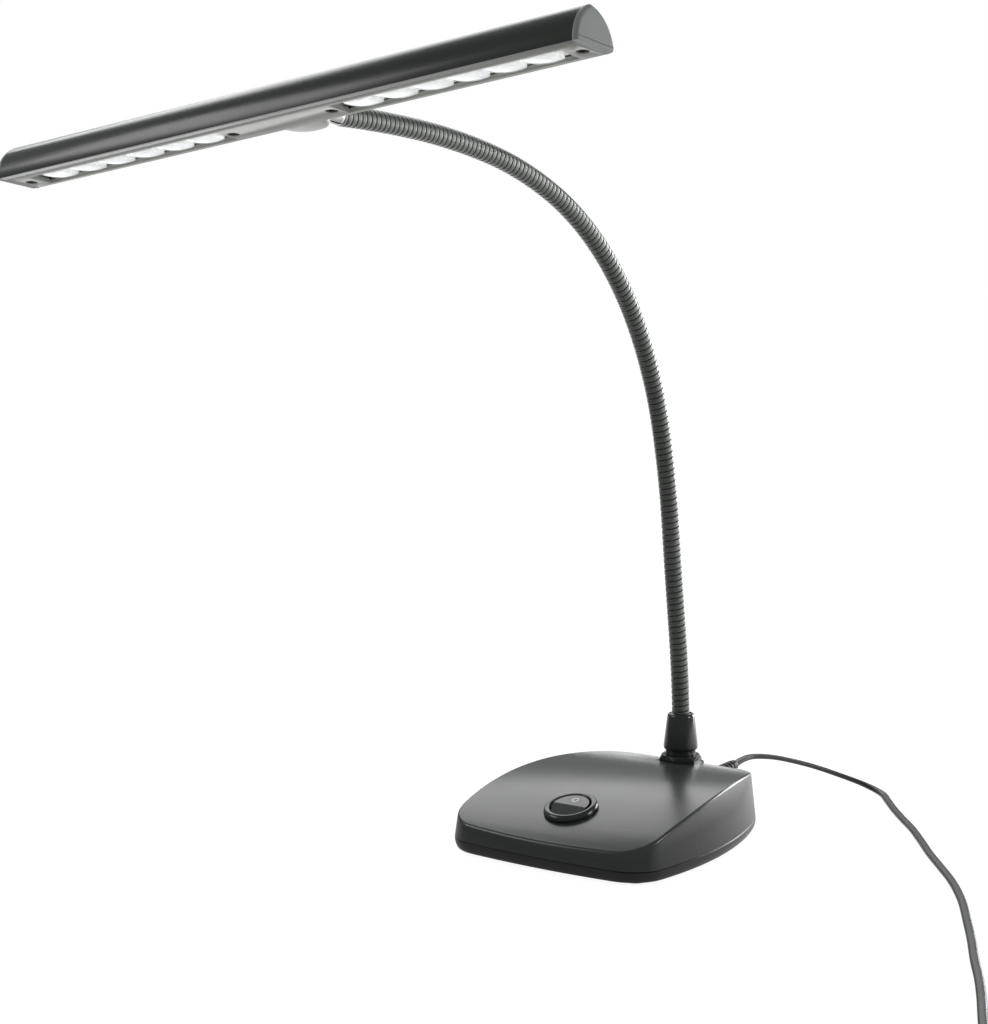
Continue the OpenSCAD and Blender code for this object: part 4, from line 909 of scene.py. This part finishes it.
# ---------- End caps ----------
# Moulded ABS caps close the extrusion's ends. Their outer edge is rounded, a fine line
# runs above the flat underside, and a foot of each fills the end of the cover's slot.
CAP_FOOT_X, CAP_TAB_X, CAP_JOIN_X, CAP_EDGE_R = 132.35, 125, 134, 1.3
FOOT_TOP, TAB_FRONT, TAB_BACK, TAB_TOP = 2.6, -7.5, 5.5, 5.4
LINE_Z, LINE_W, LINE_DEEP = 1.5, 0.22, 0.25
END_SCREW_X, MID_SCREW_X = 128.7, 23.2
cap_grey = moulded("cap_dark_abs", (0.19, 0.205, 0.2), 0.42, grain=0.6, depth=0.006)
for side, name in ((-1, "left"), (1, "right")):
    foot = block((CAP_FOOT_X, COVER_LOW + 0.1, 0),
                 (CAP_JOIN_X, COVER_HIGH - 0.1, FOOT_TOP))
    tab = block((CAP_TAB_X, TAB_FRONT, COVER_T + 0.1), (CAP_JOIN_X, TAB_BACK, TAB_TOP))
    line = block((CAP_X - LINE_DEEP, -20, LINE_Z), (CAP_X + 1, 20, LINE_Z + LINE_W))
    pilot = rod(1, -1, 5, Matrix.Translation((END_SCREW_X, 0, 0)), 24)
    cap = machined(bar_solid(BODY_X, CAP_X, rounding=CAP_EDGE_R), ("join", foot),
                   ("join", tab), ("cut", line), ("cut", pilot))
    if side < 0:
        bmesh.ops.scale(cap, vec=(-1, 1, 1), verts=cap.verts)
        bmesh.ops.reverse_faces(cap, faces=cap.faces[:])
    bmesh.ops.transform(cap, matrix=at_head, verts=cap.verts)
    make_piece(f"bar_cap_{name}", cap, cap_grey, "head", (f"end_cap_{name}",),
               sharp=24)

# ---------- Light cover ----------
# A flat cover of black polycarbonate with a long window for each row of lights, held
# by four small black cross-head screws that sit in countersinks. Its light grey is a
# painted reflection of the bright table below it.
WINDOW_X, WINDOW_LEN, WINDOW_W = 75.15, 97.3, 11
PLATE_X, PLATE_GAP, PLATE_EDGE_R = 132.25, 0.12, 0.14
PLATE_HOLE_R, SINK_R, SINK_DEEP = 1.4, 2.3, 0.9
plate_steps = []
for side in (-1, 1):
    plate_steps.append(("cut", block(
        (side * WINDOW_X - WINDOW_LEN / 2, -WINDOW_W / 2, -1),
        (side * WINDOW_X + WINDOW_LEN / 2, WINDOW_W / 2, 4))))
for x in (-END_SCREW_X, -MID_SCREW_X, MID_SCREW_X, END_SCREW_X):
    at = Matrix.Translation((x, 0, 0))
    plate_steps += [("cut", rod(PLATE_HOLE_R, -1, 5, at, 32)),
                    ("cut", rod(SINK_R, -1, SINK_DEEP, at, 40))]
plate_shape = machined(
    block((-PLATE_X, COVER_LOW + PLATE_GAP, 0), (PLATE_X, COVER_HIGH - PLATE_GAP, COVER_T)),
    *plate_steps, eased(PLATE_EDGE_R, 2, 30))
bmesh.ops.transform(plate_shape, matrix=at_head, verts=plate_shape.verts)
# painted reflection: the black cover is coloured light grey for the bright table it mirrors
# from below
plate_reflection_grey = moulded("black_pc_painted_reflection", (0.3, 0.31, 0.285), 0.33, grain=0.6, depth=0.004,
                     sheen=0.02)
make_piece("window_plate", plate_shape, plate_reflection_grey, "head",
           ("light_cover",), sharp=30)
dress(moulded("black_screws", (0.004, 0.004, 0.004), 0.6), "cover_screw", "cover_screws")
dress(metal("block_aluminium", (0.6, 0.6, 0.6), 0.4), "block", "center_block")

# ---------- Lights ----------
# Two boards of white solder mask with six square white chips each, under a moulded
# strip of clear acrylic that has a shallow round lens for every chip. They are on:
# the chips glow as lamps. The mask's glow and the acrylic's fainter one are painted
# light, for the chips' light that falls on the mask and scatters in the acrylic.
LED_PITCH, LENSES, LENS_R, DOME_R, LENS_LOW = 15.15, 6, 7.2, 30, 0.15
STRIP_LOW, LENS_TOP, STRIP_TOP, SHOWN_HALF, ACRYLIC_EDGE_R = 2.0, 2.5, 2.6, 5.2, 0.08
STRIP_LEFT, STRIP_RIGHT, STRIP_FRONT, STRIP_BACK = -45.2, 46.4, -6.6, 5.7


def set_glow(finish, colour, strength):
    """Makes a finish glow: as a lamp on the chips, as painted light on the mask and
    acrylic.
    """
    set_in(finish.node_tree.nodes["Principled BSDF"],
           Emission_Color=(*colour, 1), Emission_Strength=strength)


def dome_z(radius):
    """The height of a lens's face at a radius."""
    return LENS_LOW + DOME_R - math.sqrt(DOME_R ** 2 - radius ** 2)


white_mask_painted_glow = moulded("white_mask_painted_glow", (0.82, 0.83, 0.82), 0.45, grain=0.8, depth=0.02,
                     cloud=0.03)
# painted light: the mask is no lamp; its glow stands for the chips' light falling on it
set_glow(white_mask_painted_glow, (1, 1, 0.98), 0.3)
dress(white_mask_painted_glow, "led_board", "led_board_left", "led_board_right")
phosphor = moulded("chip_phosphor", (0.85, 0.8, 0.45), 0.4, grain=0.4, depth=0.02)
set_glow(phosphor, (1, 1, 0.98), 2)
dress(phosphor, "led", "led_chips")
acrylic = moulded("clear_acrylic", (0.93, 0.95, 0.96), 0.08, grain=2, depth=0.004,
                  cloud=0.02, sheen=0.03)
set_in(acrylic.node_tree.nodes["Principled BSDF"], Transmission_Weight=0.6, IOR=1.49)
# painted light: a faint glow for the chips' light scattered in the acrylic
set_glow(acrylic, (1, 1, 0.99), 0.12)
dome_marks = [(r, dome_z(r)) for r in (LENS_R * k / 10 for k in range(11))]
dome_marks += [(LENS_R, LENS_TOP), (0, LENS_TOP)]
for side, name in ((-1, "left"), (1, "right")):
    strip = block((STRIP_LEFT, STRIP_FRONT, STRIP_LOW),
                  (STRIP_RIGHT, STRIP_BACK, STRIP_TOP))
    steps = []
    for i in range(LENSES):
        at = Matrix.Translation(((i - (LENSES - 1) / 2) * LED_PITCH, 0, 0))
        steps.append(("join", turned(dome_marks, at, 48)))
    seen_part = block((-47, -SHOWN_HALF, -1), (47, SHOWN_HALF, 5))
    strip = machined(strip, *steps, ("keep", seen_part), eased(ACRYLIC_EDGE_R, 2, 40))
    at_row = at_head @ Matrix.Translation((side * WINDOW_X, 0, 0))
    bmesh.ops.transform(strip, matrix=at_row, verts=strip.verts)
    make_piece(f"lens_row_{name}", strip, acrylic, "head", (f"lens_strip_{name}",),
               sharp=30)

# ---------- Table, light and background ----------
# A plain table that the camera sees as white with the lamp's shadow on it, before a
# white background. Four soft boxes stand round it: a wide one behind on the left, one
# low behind, one on the right and one in front on the left. In the lamp's polished
# faces the table shows dark at the front and bright towards the back.
TABLE_LIFT = -0.00005
WHITE, COOL_WHITE = (1, 1, 1, 1), (0.92, 1, 0.97, 1)
DARK_FROM, BRIGHT_FROM = -0.15, 0.75  # where along Y the mirrored table turns bright
SURROUND, MIRRORED_SURROUND = 0.45, 0.3


def seen_by_camera(nodes, wire):
    """The kinds of ray, and whether one is the camera's, straight or through glass."""
    ray = nodes.new("ShaderNodeLightPath")
    either = nodes.new("ShaderNodeMath")
    either.operation = "MAXIMUM"
    wire(ray.outputs["Is Camera Ray"], either.inputs[0])
    wire(ray.outputs["Is Transmission Ray"], either.inputs[1])
    return ray, either.outputs[0]


def shader(nodes, kind, **values):
    """A shader with its sockets set."""
    made = nodes.new(kind)
    set_in(made, **values)
    return made.outputs[0]


def joined(nodes, wire, kind, *sources):
    """Two shaders added, or picked between by a first source."""
    made = nodes.new(kind)
    for source, socket in zip(sources, made.inputs):
        wire(source, socket)
    return made.outputs[0]


table_mesh = bpy.data.meshes.new("studio_table")
table_shape = bmesh.new()
bmesh.ops.create_grid(table_shape, x_segments=2, y_segments=2, size=6)
table_shape.to_mesh(table_mesh)
table_shape.free()
studio_table = add_object("studio_table", table_mesh)
studio_table.location.z = TABLE_LIFT
table_paper = bpy.data.materials.new("table_paper")
table_paper.use_nodes = True
nodes = table_paper.node_tree.nodes
wire = table_paper.node_tree.links.new
nodes.remove(nodes["Principled BSDF"])
ray, seen = seen_by_camera(nodes, wire)
paper = shader(nodes, "ShaderNodeBsdfDiffuse", Color=(0.8, 0.8, 0.8, 1))
shaded = shader(nodes, "ShaderNodeBsdfDiffuse", Color=(0.16, 0.16, 0.16, 1))
glow = shader(nodes, "ShaderNodeEmission", Color=WHITE, Strength=0.93)
lit_paper = joined(nodes, wire, "ShaderNodeAddShader", shaded, glow)
place = nodes.new("ShaderNodeTexCoord")
split = nodes.new("ShaderNodeSeparateXYZ")
wire(place.outputs["Object"], split.inputs[0])
sweep = nodes.new("ShaderNodeMapRange")
set_in(sweep, From_Min=DARK_FROM, From_Max=BRIGHT_FROM, To_Min=0.12, To_Max=3)
wire(split.outputs["Y"], sweep.inputs["Value"])
mirrored = nodes.new("ShaderNodeEmission")
set_in(mirrored, Color=WHITE)
wire(sweep.outputs["Result"], mirrored.inputs["Strength"])
unseen = joined(nodes, wire, "ShaderNodeMixShader", ray.outputs["Is Glossy Ray"], paper,
                mirrored.outputs[0])
table_look = joined(nodes, wire, "ShaderNodeMixShader", seen, unseen, lit_paper)
wire(table_look, nodes["Material Output"].inputs["Surface"])
table_mesh.materials.append(table_paper)

world = bpy.data.worlds.new("studio_surround")
world.use_nodes = True
bpy.context.scene.world = world
nodes = world.node_tree.nodes
wire = world.node_tree.links.new
even = nodes["Background"]
set_in(even, Color=WHITE, Strength=SURROUND)
ray, seen = seen_by_camera(nodes, wire)
white = shader(nodes, "ShaderNodeBackground", Color=WHITE)
reflected = shader(nodes, "ShaderNodeBackground", Color=COOL_WHITE,
                   Strength=MIRRORED_SURROUND)
unseen = joined(nodes, wire, "ShaderNodeMixShader", ray.outputs["Is Glossy Ray"],
                even.outputs[0], reflected)
world_look = joined(nodes, wire, "ShaderNodeMixShader", seen, unseen, white)
wire(world_look, nodes["World Output"].inputs["Surface"])

for name, spot, aim, wide, high, power in (
        ("back_left_box", (-0.85, 0.95, 1.05), (0, 0, 0.12), 1.6, 0.9, 10),
        ("back_box", (0.3, 1.35, 0.3), (0, 0, 0.05), 0.7, 0.6, 11),
        ("right_box", (1.35, 0.55, 0.6), (0, 0, 0.15), 0.5, 0.5, 6),
        ("front_left_box", (-1.2, -0.9, 1.0), (0, -0.1, 0.2), 0.9, 0.5, 5)):
    lamp = bpy.data.lights.new(name, "AREA")
    lamp.shape = "RECTANGLE"
    lamp.size = wide
    lamp.size_y = high
    lamp.energy = power
    box = add_object(name, lamp)
    box.location = spot
    box.rotation_euler = (Vector(aim) - Vector(spot)).to_track_quat("-Z", "Y").to_euler()

bpy.context.scene.view_settings.view_transform = "Standard"
bpy.context.view_layer.update()
